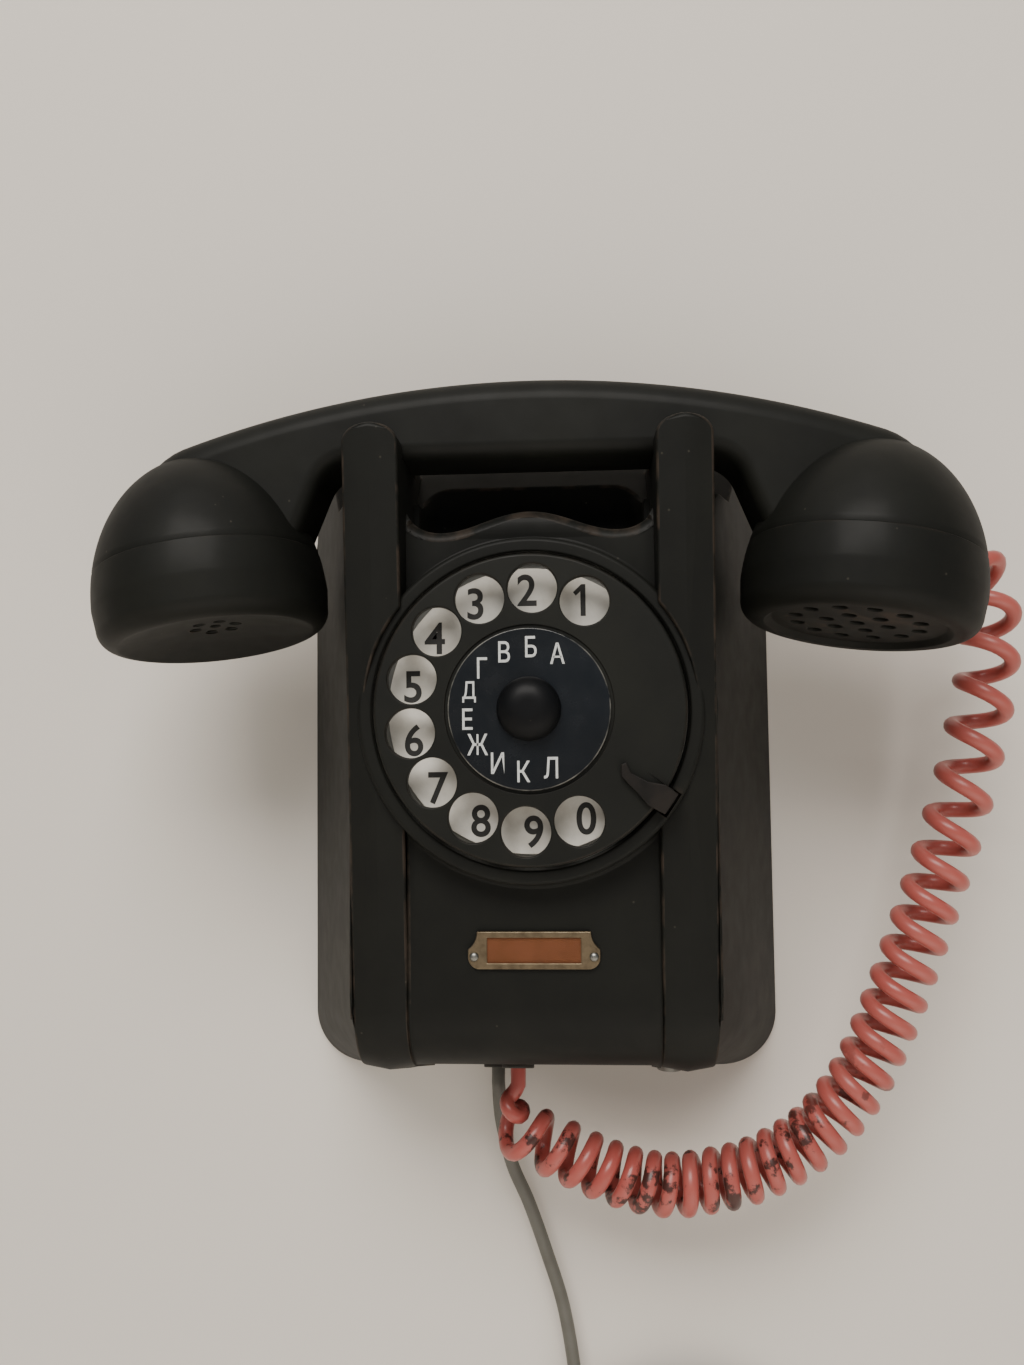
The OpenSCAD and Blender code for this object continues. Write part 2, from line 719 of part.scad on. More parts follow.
module governor() {
    weight_y = governor_half * 0.45;
    color("#b8b8b4") on_dial() translate([governor_x, 0, worm_wheel_d]) rotate([-90, 0, 0]) {
        translate([0, 0, -governor_half - 1.5]) cylinder(r = spindle_r, h = 2 * governor_half + 3);
        translate([0, 0, -6]) cylinder(r = worm_r, h = 12);
        difference() {
            translate([0, 0, weight_y]) cylinder(r = weight_r, h = 7);
            for (side = [-1, 1]) translate([side * weight_r, 0, weight_y - 1]) cylinder(r = 2.5, h = 9);
        }
    }
}

// Hook switch: plungers in the horns, a yoke across them, springs below it
module hook_bracket() {
    leg_in = hook_x - 8.5;
    color("#9a9a94") {
        box(-hook_x, hook_x, hook_plate_d - 4.5, hook_plate_d + foot_t, ceiling_z - foot_t, ceiling_z);
        for (side = [-1, 1]) {
            translate([side * (leg_in + hook_x) / 2, 0, 0])
                box((leg_in - hook_x) / 2, (hook_x - leg_in) / 2, hook_plate_d, hook_plate_d + foot_t,
                    foot_z - foot_t, ceiling_z);
            translate([side * hook_x, 0, 0])
                box(-4.8, 4.8, hook_plate_d, handle_d + 3, foot_z - foot_t, foot_z);
        }
    }
}
module hook_yoke() {
    color("#a9a598") box(-hook_x - 4.5, hook_x + 4.5, handle_d - 4, handle_d + 3.4, yoke_z, yoke_top);
}
module plunger(side) {
    dome = 1;
    color("#232320") translate([side * hook_x, -handle_d, 0]) rotate_extrude()
        polygon([[0, yoke_top], [plunger_r, yoke_top], [plunger_r, cradle_z - dome],
            [plunger_r - dome, cradle_z], [0, cradle_z]]);
}
module plunger_left() {
    plunger(-1);
}
module plunger_right() {
    plunger(1);
}
function spring_path() = let (rings = 8, n = spring_curls * rings, r = spring_wire / 2)
    [for (i = [0:n]) [spring_r * cos(360 * i / rings), spring_r * sin(360 * i / rings),
        foot_z + r + fit + (spring_free - 2 * r - 2 * apart) * i / n]];
module hook_springs() {
    color("#77787a") for (side = [-1, 1])
        translate([side * hook_x, -handle_d, 0]) tube(spring_path(), spring_wire / 2, 6);
}
module hook_contacts() {
    block_in = hook_x - 13.5;
    leaf = 0.5;
    tip = 8;
    color("#8a6b3a") {
        box(block_in, hook_x - 5.5, hook_plate_d + foot_t, handle_d, foot_z + 3, yoke_z - 3.5);
        for (z = [foot_z + 5, foot_z + 8, yoke_z - 5])
            box(tip, block_in + 1, handle_d - 5, handle_d, z, z + leaf);
        box(tip + 4, tip + 7, handle_d - 4, handle_d - 1, yoke_z - 5, yoke_z - apart);
    }
}

// Ringer
module ringer_frame() {
    color("#9a9a94") {
        half = core_x + 5;
        box(-half, half, plate_t, plate_t + bracket_t, clapper_z - 5, yoke_bar_z + yoke_bar_t + 2);
        box(1 - half, half - 1, plate_t, ringer_d + 4, yoke_bar_z, yoke_bar_z + yoke_bar_t);
        for (side = [-1, 1])
            translate([side * core_x, -ringer_d, core_z])
                cylinder(r = core_r, h = yoke_bar_z - core_z + cut);
    }
}
module ringer_coils() {
    color("#7a3b22") for (side = [-1, 1])
        translate([side * core_x, -ringer_d, yoke_bar_z - bobbin_l]) difference() {
            union() {
                cylinder(r = bobbin_r, h = bobbin_l);
                for (z = [0, bobbin_l - bobbin_rim])
                    translate([0, 0, z]) cylinder(r = bobbin_r + 0.7, h = bobbin_rim);
            }
            translate([0, 0, -1]) cylinder(r = core_r + fit, h = bobbin_l + 2);
        }
}
module ringer_magnet() {
    half = core_x - bobbin_r - 1.1;
    color("#55585c") box(-half, half, ringer_d - 6, ringer_d + 4, yoke_bar_z - 22, yoke_bar_z);
}
function gong_outer(t) = [for (i = [0:10]) let (a = 8 * i)
    [4 + (gong_r - t - 4) * cos(a), gong_d + (gong_h - t) * sin(a) / sin(80)]];
module gong(side) {
    color("#a8a59c") translate([side * gong_x, 0, gong_z]) rotate([90, 0, 0]) difference() {
        rotate_extrude() polygon(concat([[0, gong_d]], gong_outer(0), [[0, gong_d + gong_h]]));
        rotate_extrude() polygon(concat([[0, gong_d - 1], [gong_r - gong_t, gong_d - 1]],
            gong_outer(gong_t), [[0, gong_d + gong_h - gong_t]]));
        disc(post_r / 2 + fit, gong_d, gong_d + gong_h + 1);
    }
}
module gong_left() {
    gong(-1);
}
module gong_right() {
    gong(1);
}
post_r = 4;
module gong_posts() {
    top = gong_d + gong_h;
    color("#b0aca0") for (side = [-1, 1]) translate([side * gong_x, 0, gong_z]) rotate([90, 0, 0]) {
        disc(post_r, plate_t, top - gong_t);
        disc(post_r / 2, top - gong_t - 1, top + 1);
        difference() {
            disc(3.5, top, top + 2);
            translate([-4, -0.5, top + 1]) cube([8, 1, 2]);
        }
    }
}
module clapper() {
    rod_r = 1;
    ball_r = 2.5;
    half_l = core_x + core_r;
    half_t = 1.75;
    color("#8d9094") {
        difference() {
            box(-half_l, half_l, ringer_d - 3, ringer_d + 3, clapper_z - half_t, clapper_z + half_t);
            translate([0, 0, clapper_z]) rotate([90, 0, 0]) disc(pin_r + run, 0, far / 10);
        }
        translate([0, -ringer_d, gong_z]) cylinder(r = rod_r, h = clapper_z - pin_r - cut - gong_z);
        translate([0, -ringer_d, gong_z]) sphere(r = ball_r);
    }
}
module clapper_pin() {
    color("#b0aca0") translate([0, 0, clapper_z]) rotate([90, 0, 0])
        disc(pin_r, plate_t + bracket_t, ringer_d + 5);
}

// Circuit pieces on the back plate
module capacitor() {
    can_x = -37;
    can_w = 30;
    can_t = 20;
    color("#8b8f86") forward(plate_t, plate_t + can_t)
        translate([can_x, 0]) polygon(round_rect(can_w / 2, 18, 46, 3, 3));
}
module induction_coil() {
    coil_x = 36;
    coil_z = 17;
    coil_l = 30;
    winding_r = 10;
    rim_t = 2;
    axis_d = plate_t + 15;
    color("#6b3d24") {
        translate([coil_x, -axis_d, coil_z]) {
            cylinder(r = winding_r, h = coil_l);
            for (z = [0, coil_l - rim_t]) translate([0, 0, z]) cylinder(r = winding_r + 2, h = rim_t);
        }
        translate([coil_x, 0, coil_z])
            box(2 - winding_r, winding_r - 2, plate_t, axis_d - 6, 3, coil_l - 3);
    }
}
block_z = 58;
block_l = 36;
block_t = 9;
block_step = 9;
terminal_r = 1.2;
terminals = [-1.5 * block_step:block_step:1.5 * block_step];
module terminal_block() {
    color("#3b2a20") difference() {
        box(-block_l / 2, block_l / 2, plate_t, plate_t + block_t, block_z - 6, block_z + 6);
        for (x = terminals) translate([x, 0, block_z]) rotate([90, 0, 0])
            disc(terminal_r + fit, plate_t + 3, plate_t + block_t + 1);
    }
}
module terminal_screws() {
    head = 1.6;
    top = plate_t + block_t;
    color("#c2b280") for (x = terminals) translate([x, 0, block_z]) rotate([90, 0, 0]) {
        disc(terminal_r, plate_t + 4, top);
        difference() {
            disc(2 * terminal_r, top, top + head);
            translate([-3, -0.4, top + head / 2]) cube([6, 0.8, head]);
        }
    }
}

// Cord grommets through the floor
function grommet_r(dia) = dia / 2 + 1.2;
module grommet(x, d, dia) {
    on_floor(x, d) difference() {
        union() {
            translate([0, 0, -wall]) cylinder(r = grommet_r(dia), h = wall + flange_t / 2);
            cylinder(r = grommet_r(dia) + 1.2, h = flange_t);
        }
        translate([0, 0, -wall - 1]) cylinder(r = dia / 2 - 0.6, h = wall);
    }
}
module grommet_hole(x, d, dia) {
    on_floor(x, d) translate([0, 0, -wall - 1]) cylinder(r = grommet_r(dia) + fit, h = far / 40);
}
module cord_grommet() {
    color("#26251f") grommet(cord_x, cord_d, wire_dia);
}
module line_grommet() {
    color("#26251f") grommet(line_x, line_d, line_dia);
}

// Handset: an arched handle with a straight underside and two domed cups
function dome_r(z) = ear_dia / 2 * sqrt(max(0, 1 - pow((z + cap_bulge) / (dome_h + cap_bulge), 2)));
function arch(x) = top_z - arch_r + sqrt(arch_r * arch_r - x * x);
function handle_profile() = let (
        half = [for (i = [0:10]) let (x = (cup_x + 18) * i / 10) [x, arch(x)]],
        low = [[cup_x + 10, seam_z + 8], [cup_x - 12, seam_z + 4],
            [neck_x + neck_lean + 4, under_z - neck_drop - 5], [neck_x + neck_lean, under_z - neck_drop],
            [neck_x + 2, under_z - 2.5], [neck_x - 1.5, under_z]],
        right = concat(half, low))
    concat(right, [for (i = [len(right) - 1:-1:1]) [-right[i][0], right[i][1]]]);
module handle_form() {
    edge_r = 7;
    t = handle_t / 2;
    intersection() {
        forward(handle_d - t, handle_d + t) polygon(handle_profile());
        translate([0, 0, top_z - arch_r]) rotate([90, 0, 0]) rotate_extrude($fn = 180)
            polygon(concat([[arch_r / 2, handle_d - t]], [[arch_r / 2, handle_d + t]],
                arc([arch_r - edge_r, handle_d + t - edge_r], edge_r, 90, 0, 6),
                arc([arch_r - edge_r, handle_d - t + edge_r], edge_r, 0, -90, 6)));
    }
}
dome_steps = 14;
module cup(side) {
    rise = [for (i = [1:dome_steps - 1]) dome_h * sin(90 * i / dome_steps)];
    on_cup(side) rotate_extrude()
        polygon(concat([[0, 0], [dome_r(0), 0]], [for (z = rise) [dome_r(z), z]], [[0, dome_h]]));
    on_cup(side) translate([0, 0, -spigot_h]) cylinder(r = spigot_r, h = spigot_h + cut);
}
gland_dir = 40;
gland_z = 56;
gland_r = wire_dia / 2 + 1.6;
gland_l = 9;
gland_root = 4;
gland_start = ear_dia / 2 - 6;
module on_gland() {
    translate([cup_x, -handle_d, gland_z]) rotate([0, 0, gland_dir]) rotate([0, 90, 0]) children();
}
module handset_handle() {
    color("#1d1d1b") difference() {
        union() {
            handle_form();
            for (side = [-1, 1]) cup(side);
        }
        for (side = [-1, 1]) on_cup(side) translate([0, 0, -spigot_h - 1])
            cylinder(r = capsule_r + fit, h = capsule_h + 1);
        on_gland() translate([0, 0, gland_start - gland_root])
            cylinder(r = gland_r + fit, h = far / 20);
    }
}
// A cap: a turned shell over the spigot, its face pierced by a pattern of round holes
face_t = 2.5;
module ear_shell(dish, dish_r) {
    r = ear_dia / 2;
    inner = spigot_r + fit;
    edge = 5;
    rotate_extrude() difference() {
        polygon(concat([[0, dish - ear_h], [dish_r, dish - ear_h], [dish_r + dish, -ear_h]],
            [[r - edge - 1, -ear_h]],
            [for (a = [0:15:90]) [r - 0.6 - edge + edge * sin(a), edge - ear_h - edge * cos(a)]],
            [[r, -cap_bulge], [dome_r(-cap_bulge / 2), -cap_bulge / 2], [dome_r(0), 0], [0, 0]]));
        translate([-1, -spigot_h - fit]) square([inner + 1, spigot_h + 1]);
        translate([-1, -ear_h + dish + face_t]) square([capsule_r + 1, ear_h]);
    }
}
module ring_holes(r, count, dia) {
    for (i = [0:count - 1]) rotate(360 * i / count) translate([r, 0, -ear_h - 1])
        cylinder(d = dia, h = face_t + 6, $fn = 24);
}
module ear_cap() {
    color("#1b1b19") on_cup(-1) difference() {
        ear_shell(2, 17);
        ring_holes(0, 1, 2.6);
        ring_holes(5.5, 6, 2.6);
    }
}
module mouth_cap() {
    color("#1b1b19") on_cup(1) difference() {
        ear_shell(1.6, 22);
        ring_holes(0, 1, 3.6);
        ring_holes(8, 6, 3.6);
        ring_holes(16, 12, 3.6);
    }
}
module capsule(side) {
    on_cup(side) translate([0, 0, -spigot_h - capsule_proud])
        cylinder(r = capsule_r - fit, h = capsule_h + capsule_proud - apart);
}
module receiver_capsule() {
    color("#8f8f88") capsule(-1);
}
module transmitter_capsule() {
    color("#8f8f88") capsule(1);
}
module handset_gland() {
    collar = gland_root + gland_l * 0.4;
    tip = gland_root + gland_l;
    color("#211f1c") on_gland() translate([0, 0, gland_start - gland_root]) rotate_extrude()
        polygon([[0, 0], [gland_r, 0], [gland_r, collar], [gland_r - 1, tip], [0, tip]]);
}

// Cord tubes: one unbroken skin of triangles swept along a list of points
function unit(v) = v / norm(v);
function tangent(path, i) = unit(path[min(i + 1, len(path) - 1)] - path[max(i - 1, 0)]);
function across_of(t, v) = unit(v - (v * t) * t);
function normals(path) = let (t0 = tangent(path, 0), v0 = abs(t0[2]) < 0.9 ? [0, 0, 1] : [1, 0, 0])
    [for (i = 0, n = across_of(t0, v0); i < len(path);
        i = i + 1, n = i < len(path) ? across_of(tangent(path, i), n) : n) n];
module tube(path, r, sides) {
    ns = normals(path);
    last = (len(path) - 1) * sides;
    skin = [for (i = [0:len(path) - 1], k = [0:sides - 1])
        let (a = 360 * k / sides, n = ns[i], b = cross(tangent(path, i), n))
        path[i] + r * (cos(a) * n + sin(a) * b)];
    sides_up = [for (i = [0:len(path) - 2], k = [0:sides - 1])
        let (p = i * sides + k, q = i * sides + (k + 1) % sides) [p, p + sides, q]];
    sides_down = [for (i = [0:len(path) - 2], k = [0:sides - 1])
        let (p = i * sides + k, q = i * sides + (k + 1) % sides) [q, p + sides, q + sides]];
    ends = [for (k = [1:sides - 2], e = [0, 1])
        e == 0 ? [0, k, k + 1] : [last, last + k + 1, last + k]];
    polyhedron(skin, concat(sides_up, sides_down, ends), convexity = 10);
}
// A smooth curve through a route's points
function spline(p, i, u) =
    let (a = p[max(i - 1, 0)], b = p[i], c = p[i + 1], d = p[min(i + 2, len(p) - 1)])
    0.5 * (2 * b + (c - a) * u + (2 * a - 5 * b + 4 * c - d) * u * u
        + (3 * b - a - 3 * c + d) * u * u * u);
function smooth(p, n) =
    concat([for (i = [0:len(p) - 2], k = [0:n - 1]) spline(p, i, k / n)], [p[len(p) - 1]]);
// Running length along a path, as a list
function lengths(p) = [for (i = 0, s = 0; i < len(p);
    i = i + 1, s = i < len(p) ? s + norm(p[i] - p[i - 1]) : s) s];
function column(s, p, k) = [for (i = [0:len(p) - 1]) [s[i], p[i][k]]];
function total(p) = let (s = lengths(p)) s[len(s) - 1];

// Handset cord: its axis runs from the gland down past the body and back up to the floor
gland_out = [cos(gland_dir), sin(gland_dir), 0];
cord_start = [cup_x, -handle_d, gland_z] + (gland_start + gland_l + apart) * gland_out;
cord_end = [cord_x, -cord_d, floor_z(cord_d)] + flange_t * floor_out;
cord_route = concat([cord_start + wire_dia * gland_out], [
    [126, -29, 51], [129, -31, 40], [127, -34, 22], [123, -35, 4], [118, -35, -15], [111, -34, -37],
    [104, -33, -57], [96, -32, -78], [87, -32, -95], [75, -31, -109], [60, -30, -118], [46, -29, -122],
    [34, -29, -123], [20, -29, -120], [6, -29, -114], [-5, -29, -109], [-10, -30, -104]],
    [cord_end + wire_dia * floor_out]);
cord_axis = smooth(cord_route, 10);
axis_s = lengths(cord_axis);
axis_l = axis_s[len(axis_s) - 1];
axis_x = column(axis_s, cord_axis, 0);
axis_y = column(axis_s, cord_axis, 1);
axis_z = column(axis_s, cord_axis, 2);
function on_axis(s) = [lookup(s, axis_x), lookup(s, axis_y), lookup(s, axis_z)];
// Distance between curls, stretched at the top and closed where the cord hangs lowest
function curl_pitch(s) = lookup(s / axis_l, [[0, 13.4], [0.26, 13.2], [0.34, 10], [0.5, 7.6], [0.67, 6],
    [0.82, 6], [0.9, 7.4], [0.94, 11], [1, 13]]);
curl_rings = 8;
curl_stations = [for (s = 0; s < axis_l - wire_dia / 4; s = s + curl_pitch(s) / curl_rings) s];
curl_axis = [for (s = curl_stations) on_axis(s)];
curl_normals = normals(curl_axis);
curl_count = (len(curl_stations) - 1) / curl_rings;
lead_rings = 8;
function ease(i) =
    let (u = min(1, i / lead_rings, (len(curl_axis) - 1 - i) / lead_rings)) u * u * (3 - 2 * u);
curl_r = (curl_dia - wire_dia) / 2;
curl_path = [for (i = [0:len(curl_axis) - 1])
    let (a = -360 * i / curl_rings, n = curl_normals[i], b = cross(tangent(curl_axis, i), n))
    curl_axis[i] + ease(i) * curl_r * (cos(a) * n + sin(a) * b)];
cord_path = concat([cord_start], curl_path, [cord_end + wire_dia * floor_out, cord_end]);
// Least gap between stretches of one tube, measured on the points of its centre line
function least_gap(p, skip, dia) =
    min([for (i = [0:len(p) - 1 - skip], j = [i + skip:len(p) - 1]) norm(p[i] - p[j])]) - dia;
module handset_cord() {
    echo(curls = curl_count, length = total(cord_path), gap = least_gap(cord_path, 5, wire_dia));
    color("#c8554b") tube(cord_path, wire_dia / 2, 6);
}

// Line cord: from the floor down along the wall to the coil below
line_start = [line_x, -line_d, floor_z(line_d)] + flange_t * floor_out;
coil_out = coil_in + coil_turns * coil_pitch;
coil_top = [8, -6, -195];
coil_mid = coil_top + [coil_out, 0, -coil_out];
coil_start = coil_mid - [coil_out, 0, 0];
coil_lead = coil_start + [0, 0, line_dia];
line_route = concat([line_start, line_start + line_dia * floor_out],
    [[-13, -9, -112], [-10, -7, -126], [-5, -6, -138], [0, -6, -152], [5, -6, -168], [8, -6, -186]],
    [coil_top, coil_lead + [0, 0, line_dia], coil_lead]);
line_bends = [for (i = [1:len(line_route) - 2]) line_route[i]];
line_path = concat([line_route[0]], smooth(line_bends, 4), [coil_lead]);
module line_cord() {
    echo(line_length = total(line_path));
    color("#6e6c62") tube(line_path, line_dia / 2, 8);
}
// The put-away coil: one layer spirals in, the cord climbs in a half turn, the next spirals out
loop_rings = 24;
climb = 0.5;
coil_total = 2 * coil_turns + climb + 0.5;
function coil_radius(t) = coil_in + coil_pitch * max(0, coil_turns - t, t - coil_turns - climb);
function coil_layer(t) = coil_pitch * min(1, max(0, (t - coil_turns) / climb));
tail_l = 33;
coil_spiral = [for (i = [0:coil_total * loop_rings]) let (t = i / loop_rings, a = 180 + 360 * t)
    coil_mid + [coil_radius(t) * cos(a), -coil_layer(t), coil_radius(t) * sin(a)]];
coil_tail = coil_spiral[len(coil_spiral) - 1] - [0, 0, tail_l];
coil_path = concat([coil_lead], coil_spiral, [coil_tail + [0, 0, line_dia], coil_tail]);
module line_coil() {
    echo(coil_length = total(coil_path), coil_gap = least_gap(coil_path, 12, line_dia));
    color("#6e6c62") tube(coil_path, line_dia / 2, 6);
}
// A band about the coil's strands, at the side away from the cord
module coil_tie() {
    band_w = 6;
    band_t = 0.8;
    r0 = coil_in - line_dia / 2 - apart;
    r1 = coil_out + line_dia / 2 + apart + coil_pitch;
    y0 = line_dia / 2 + apart;
    y1 = line_dia / 2 + coil_pitch + apart;
    color("#33322e") translate(coil_mid) difference() {
        translate([r0 - band_t, -y1 - band_t, -band_w / 2])
            cube([r1 - r0 + 2 * band_t, y0 + y1 + 2 * band_t, band_w]);
        translate([r0, -y1, -band_w]) cube([r1 - r0, y0 + y1, 2 * band_w]);
    }
}
plug_w = 18;
plug_t = 13;
plug_l = 30;
pin_w = 4;
pin_t = 1.4;
pin_l = 13;
module line_plug() {
    color("#3a3934") translate(coil_tail) difference() {
        union() {
            translate([0, 0, -plug_l]) linear_extrude(plug_l - 6)
                polygon(round_rect(plug_w / 2, -plug_t / 2, plug_t / 2, 3, 3));
            translate([0, 0, -6]) cylinder(r1 = plug_t / 2, r2 = line_dia / 2 + 1.5, h = 6);
        }
        for (x = [-1, 1], y = [-1, 1])
            translate([x * plug_w / 4 - pin_w / 2 - fit, y * plug_t / 4 - pin_t / 2 - fit, -plug_l - 1])
                cube([pin_w + 2 * fit, pin_t + 2 * fit, 7]);
    }
}
module plug_pins() {
    color("#c2a45a") translate(coil_tail) for (x = [-1, 1], y = [-1, 1])
        translate([x * plug_w / 4 - pin_w / 2, y * plug_t / 4 - pin_t / 2, -plug_l - pin_l])
            cube([pin_w, pin_t, pin_l + 5]);
}

back_plate();
housing();
housing_screw();
label_frame();
label_card();
label_window();
label_rivets();
dial_base();
dial_screws();
number_plate();
finger_stop();
dial_spring();
pulse_contacts();
finger_wheel();
letter_disc();
centre_cap();
dial_shaft();
main_gear();
pulse_gear();
governor();
hook_bracket();
hook_springs();
hook_contacts();
hook_yoke();
plunger_left();
plunger_right();
ringer_frame();
ringer_coils();
ringer_magnet();
gong_left();
gong_right();
gong_posts();
clapper();
clapper_pin();
capacitor();
induction_coil();
terminal_block();
terminal_screws();
cord_grommet();
line_grommet();
handset_handle();
ear_cap();
mouth_cap();
receiver_capsule();
transmitter_capsule();
handset_gland();
handset_cord();
line_cord();
line_coil();
coil_tie();
line_plug();
plug_pins();
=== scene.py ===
import json
from functools import partial
from math import acos, cos, degrees, pi, radians, sin, sqrt, tan

import bmesh
import bpy
from mathutils import Matrix, Vector


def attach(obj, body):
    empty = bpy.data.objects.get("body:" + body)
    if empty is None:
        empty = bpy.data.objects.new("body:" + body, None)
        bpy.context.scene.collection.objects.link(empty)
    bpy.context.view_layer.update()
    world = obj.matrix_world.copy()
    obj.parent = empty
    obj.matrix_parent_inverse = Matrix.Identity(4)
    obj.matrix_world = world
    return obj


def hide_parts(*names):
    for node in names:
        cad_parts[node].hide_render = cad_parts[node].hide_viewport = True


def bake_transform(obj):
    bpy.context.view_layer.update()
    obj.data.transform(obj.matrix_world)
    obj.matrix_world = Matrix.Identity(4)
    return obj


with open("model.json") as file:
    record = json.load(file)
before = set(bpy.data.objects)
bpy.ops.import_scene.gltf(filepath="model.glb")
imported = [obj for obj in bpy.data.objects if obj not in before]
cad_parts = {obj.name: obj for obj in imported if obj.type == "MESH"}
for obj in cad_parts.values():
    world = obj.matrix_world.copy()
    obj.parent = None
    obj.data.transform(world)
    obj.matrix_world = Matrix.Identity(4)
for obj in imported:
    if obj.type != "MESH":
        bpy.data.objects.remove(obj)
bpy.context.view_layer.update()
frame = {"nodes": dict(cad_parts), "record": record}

mm = 0.001
nodes = frame["nodes"]
record = frame["record"]
bodyOf = {n: b for b, group in record["behaviour"]["bodies"].items() for n in group}
slotOf = {part["node"]: part["material_slot"] for part in record["subparts"]}
print("frame loaded:", len(nodes), "nodes")


def newObject(name, data):
    made = bpy.data.objects.new(name, data)
    bpy.context.scene.collection.objects.link(made)
    return made


# Camera: fitted to the wheel, rim, ribs and label of the picture
view = {
    "imageHeight": 1365, "focalPixels": 1065, "sensor": 36, "nearest": 0.01,
    "at": (0.012, -0.340, 0.0), "yawLeft": 3.5, "pitchUp": 3.6, "roll": 0.65,
}


def makeCamera():
    yaw, pitch, roll = (radians(view[k]) for k in ("yawLeft", "pitchUp", "roll"))
    forward = Vector((-sin(yaw) * cos(pitch), cos(yaw) * cos(pitch), sin(pitch)))
    right = forward.cross(Vector((0, 0, 1))).normalized()
    up = right.cross(forward)
    rolledRight = right * cos(roll) - up * sin(roll)
    rolledUp = right * sin(roll) + up * cos(roll)
    data = bpy.data.cameras.new("camera")
    data.sensor_fit = "AUTO"
    data.sensor_width = view["sensor"]
    data.lens = view["focalPixels"] * view["sensor"] / view["imageHeight"]
    data.clip_start = view["nearest"]
    camera = newObject("camera", data)
    turn = Matrix((rolledRight, rolledUp, -forward)).transposed()
    camera.matrix_world = Matrix.Translation(view["at"]) @ turn.to_4x4()
    bpy.context.scene.camera = camera


makeCamera()
print("camera set")


# Materials
def hexColor(code):  # sRGB hex to linear
    parts = [int(code[i:i + 2], 16) / 255 for i in (1, 3, 5)]
    return [c / 12.92 if c <= 0.04045 else ((c + 0.055) / 1.055) ** 2.4 for c in parts] + [1.0]


def perMm(size):  # pattern scale for features of this many millimetres
    return 1 / (size * mm)


def join(node, links):  # a node as a source stands for its first output in use
    for key, source in links.items():
        if isinstance(source, bpy.types.Node):
            source = next(o for o in source.outputs if o.enabled)
        node.id_data.links.new(source, node.inputs[key])


def addNode(tree, kind, values=None, links=None, **props):
    node = tree.nodes.new("ShaderNode" + kind)
    for key, value in props.items():
        setattr(node, key, value)
    for key, value in (values or {}).items():
        node.inputs[key].default_value = value
    join(node, links or {})
    return node


def newFinish(name, **values):
    material = bpy.data.materials.new(name)
    material.use_nodes = True
    shader = material.node_tree.nodes["Principled BSDF"]
    for key, value in values.items():
        shader.inputs[key.replace("_", " ")].default_value = value
    add = partial(addNode, material.node_tree)
    return material, shader, add, add("TexCoord").outputs


# Phenolic moulding, compression moulded and waxed: near black, half gloss, cloudy where it was wiped,
# brown where the skin has worn off the edges, dust lying on what faces up
bakelite = {
    "base": "#0c0d0a", "cloud": "#12130f", "worn": "#2e2720", "dust": "#45423a",
    "cloudMm": 26, "hazeMm": 7, "speckMm": 7,
    "grainMm": 0.5,  # finer in truth, coarse enough to show
    "rough": (0.62, 0.69), "shine": 0.14,
    "wax": (0.05, 0.25),  # share and roughness of the polish left on the skin
}


def makeBakelite(name, look):
    material, shader, add, coords = newFinish(name, IOR=1.6, Specular_IOR_Level=look["shine"],
                                              Coat_Weight=look["wax"][0], Coat_Roughness=look["wax"][1])
    place = coords["Object"]
    cloud = add("TexNoise", {"Scale": perMm(look["cloudMm"]), "Detail": 5}, {"Vector": place})
    haze = add("TexNoise", {"Scale": perMm(look["hazeMm"]), "Detail": 4, "Roughness": 0.55},
               {"Vector": place})
    cloudy = add("MapRange", {"From Min": 0.38, "From Max": 0.68}, {"Value": cloud})
    tone = add("Mix", {6: hexColor(look["base"]), 7: hexColor(look["cloud"])}, {0: cloudy}, data_type="RGBA")
    # worn edges, broken up by the haze
    edge = add("Attribute", attribute_name="edgeWear")
    patchy = add("MapRange", {"From Min": 0.42, "From Max": 0.6}, {"Value": haze})
    rubbed = add("Math", None, {0: edge.outputs["Fac"], 1: patchy}, operation="MULTIPLY")
    wear = add("Mix", {7: hexColor(look["worn"])}, {0: rubbed, 6: tone}, data_type="RGBA")
    # dust on upward faces and as loose specks
    facing = add("SeparateXYZ", None, {0: coords["Normal"]})
    upward = add("MapRange", {"From Min": 0.75, "From Max": 1.0, "To Max": 0.09},
                 {"Value": facing.outputs["Z"]})
    lying = add("Math", None, {0: upward, 1: patchy}, operation="MULTIPLY")
    cells = add("TexVoronoi", {"Scale": perMm(look["speckMm"])}, {"Vector": place})
    speck = add("MapRange", {"From Min": 0.028, "From Max": 0.05, "To Min": 0.5, "To Max": 0.0},
                {"Value": cells})
    dust = add("Math", None, {0: lying, 1: speck}, operation="MAXIMUM")
    color = add("Mix", {7: hexColor(look["dust"])}, {0: dust, 6: wear}, data_type="RGBA")
    low, high = look["rough"]
    dull = add("MapRange", {"From Min": 0.3, "From Max": 0.7, "To Min": low, "To Max": high}, {"Value": haze})
    grain = add("TexNoise", {"Scale": perMm(look["grainMm"]), "Detail": 2}, {"Vector": place})
    bump = add("Bump", {"Strength": 0.25, "Distance": 0.00003}, {"Height": grain})
    join(shader, {"Base Color": color, "Roughness": dull, "Normal": bump})
    return material


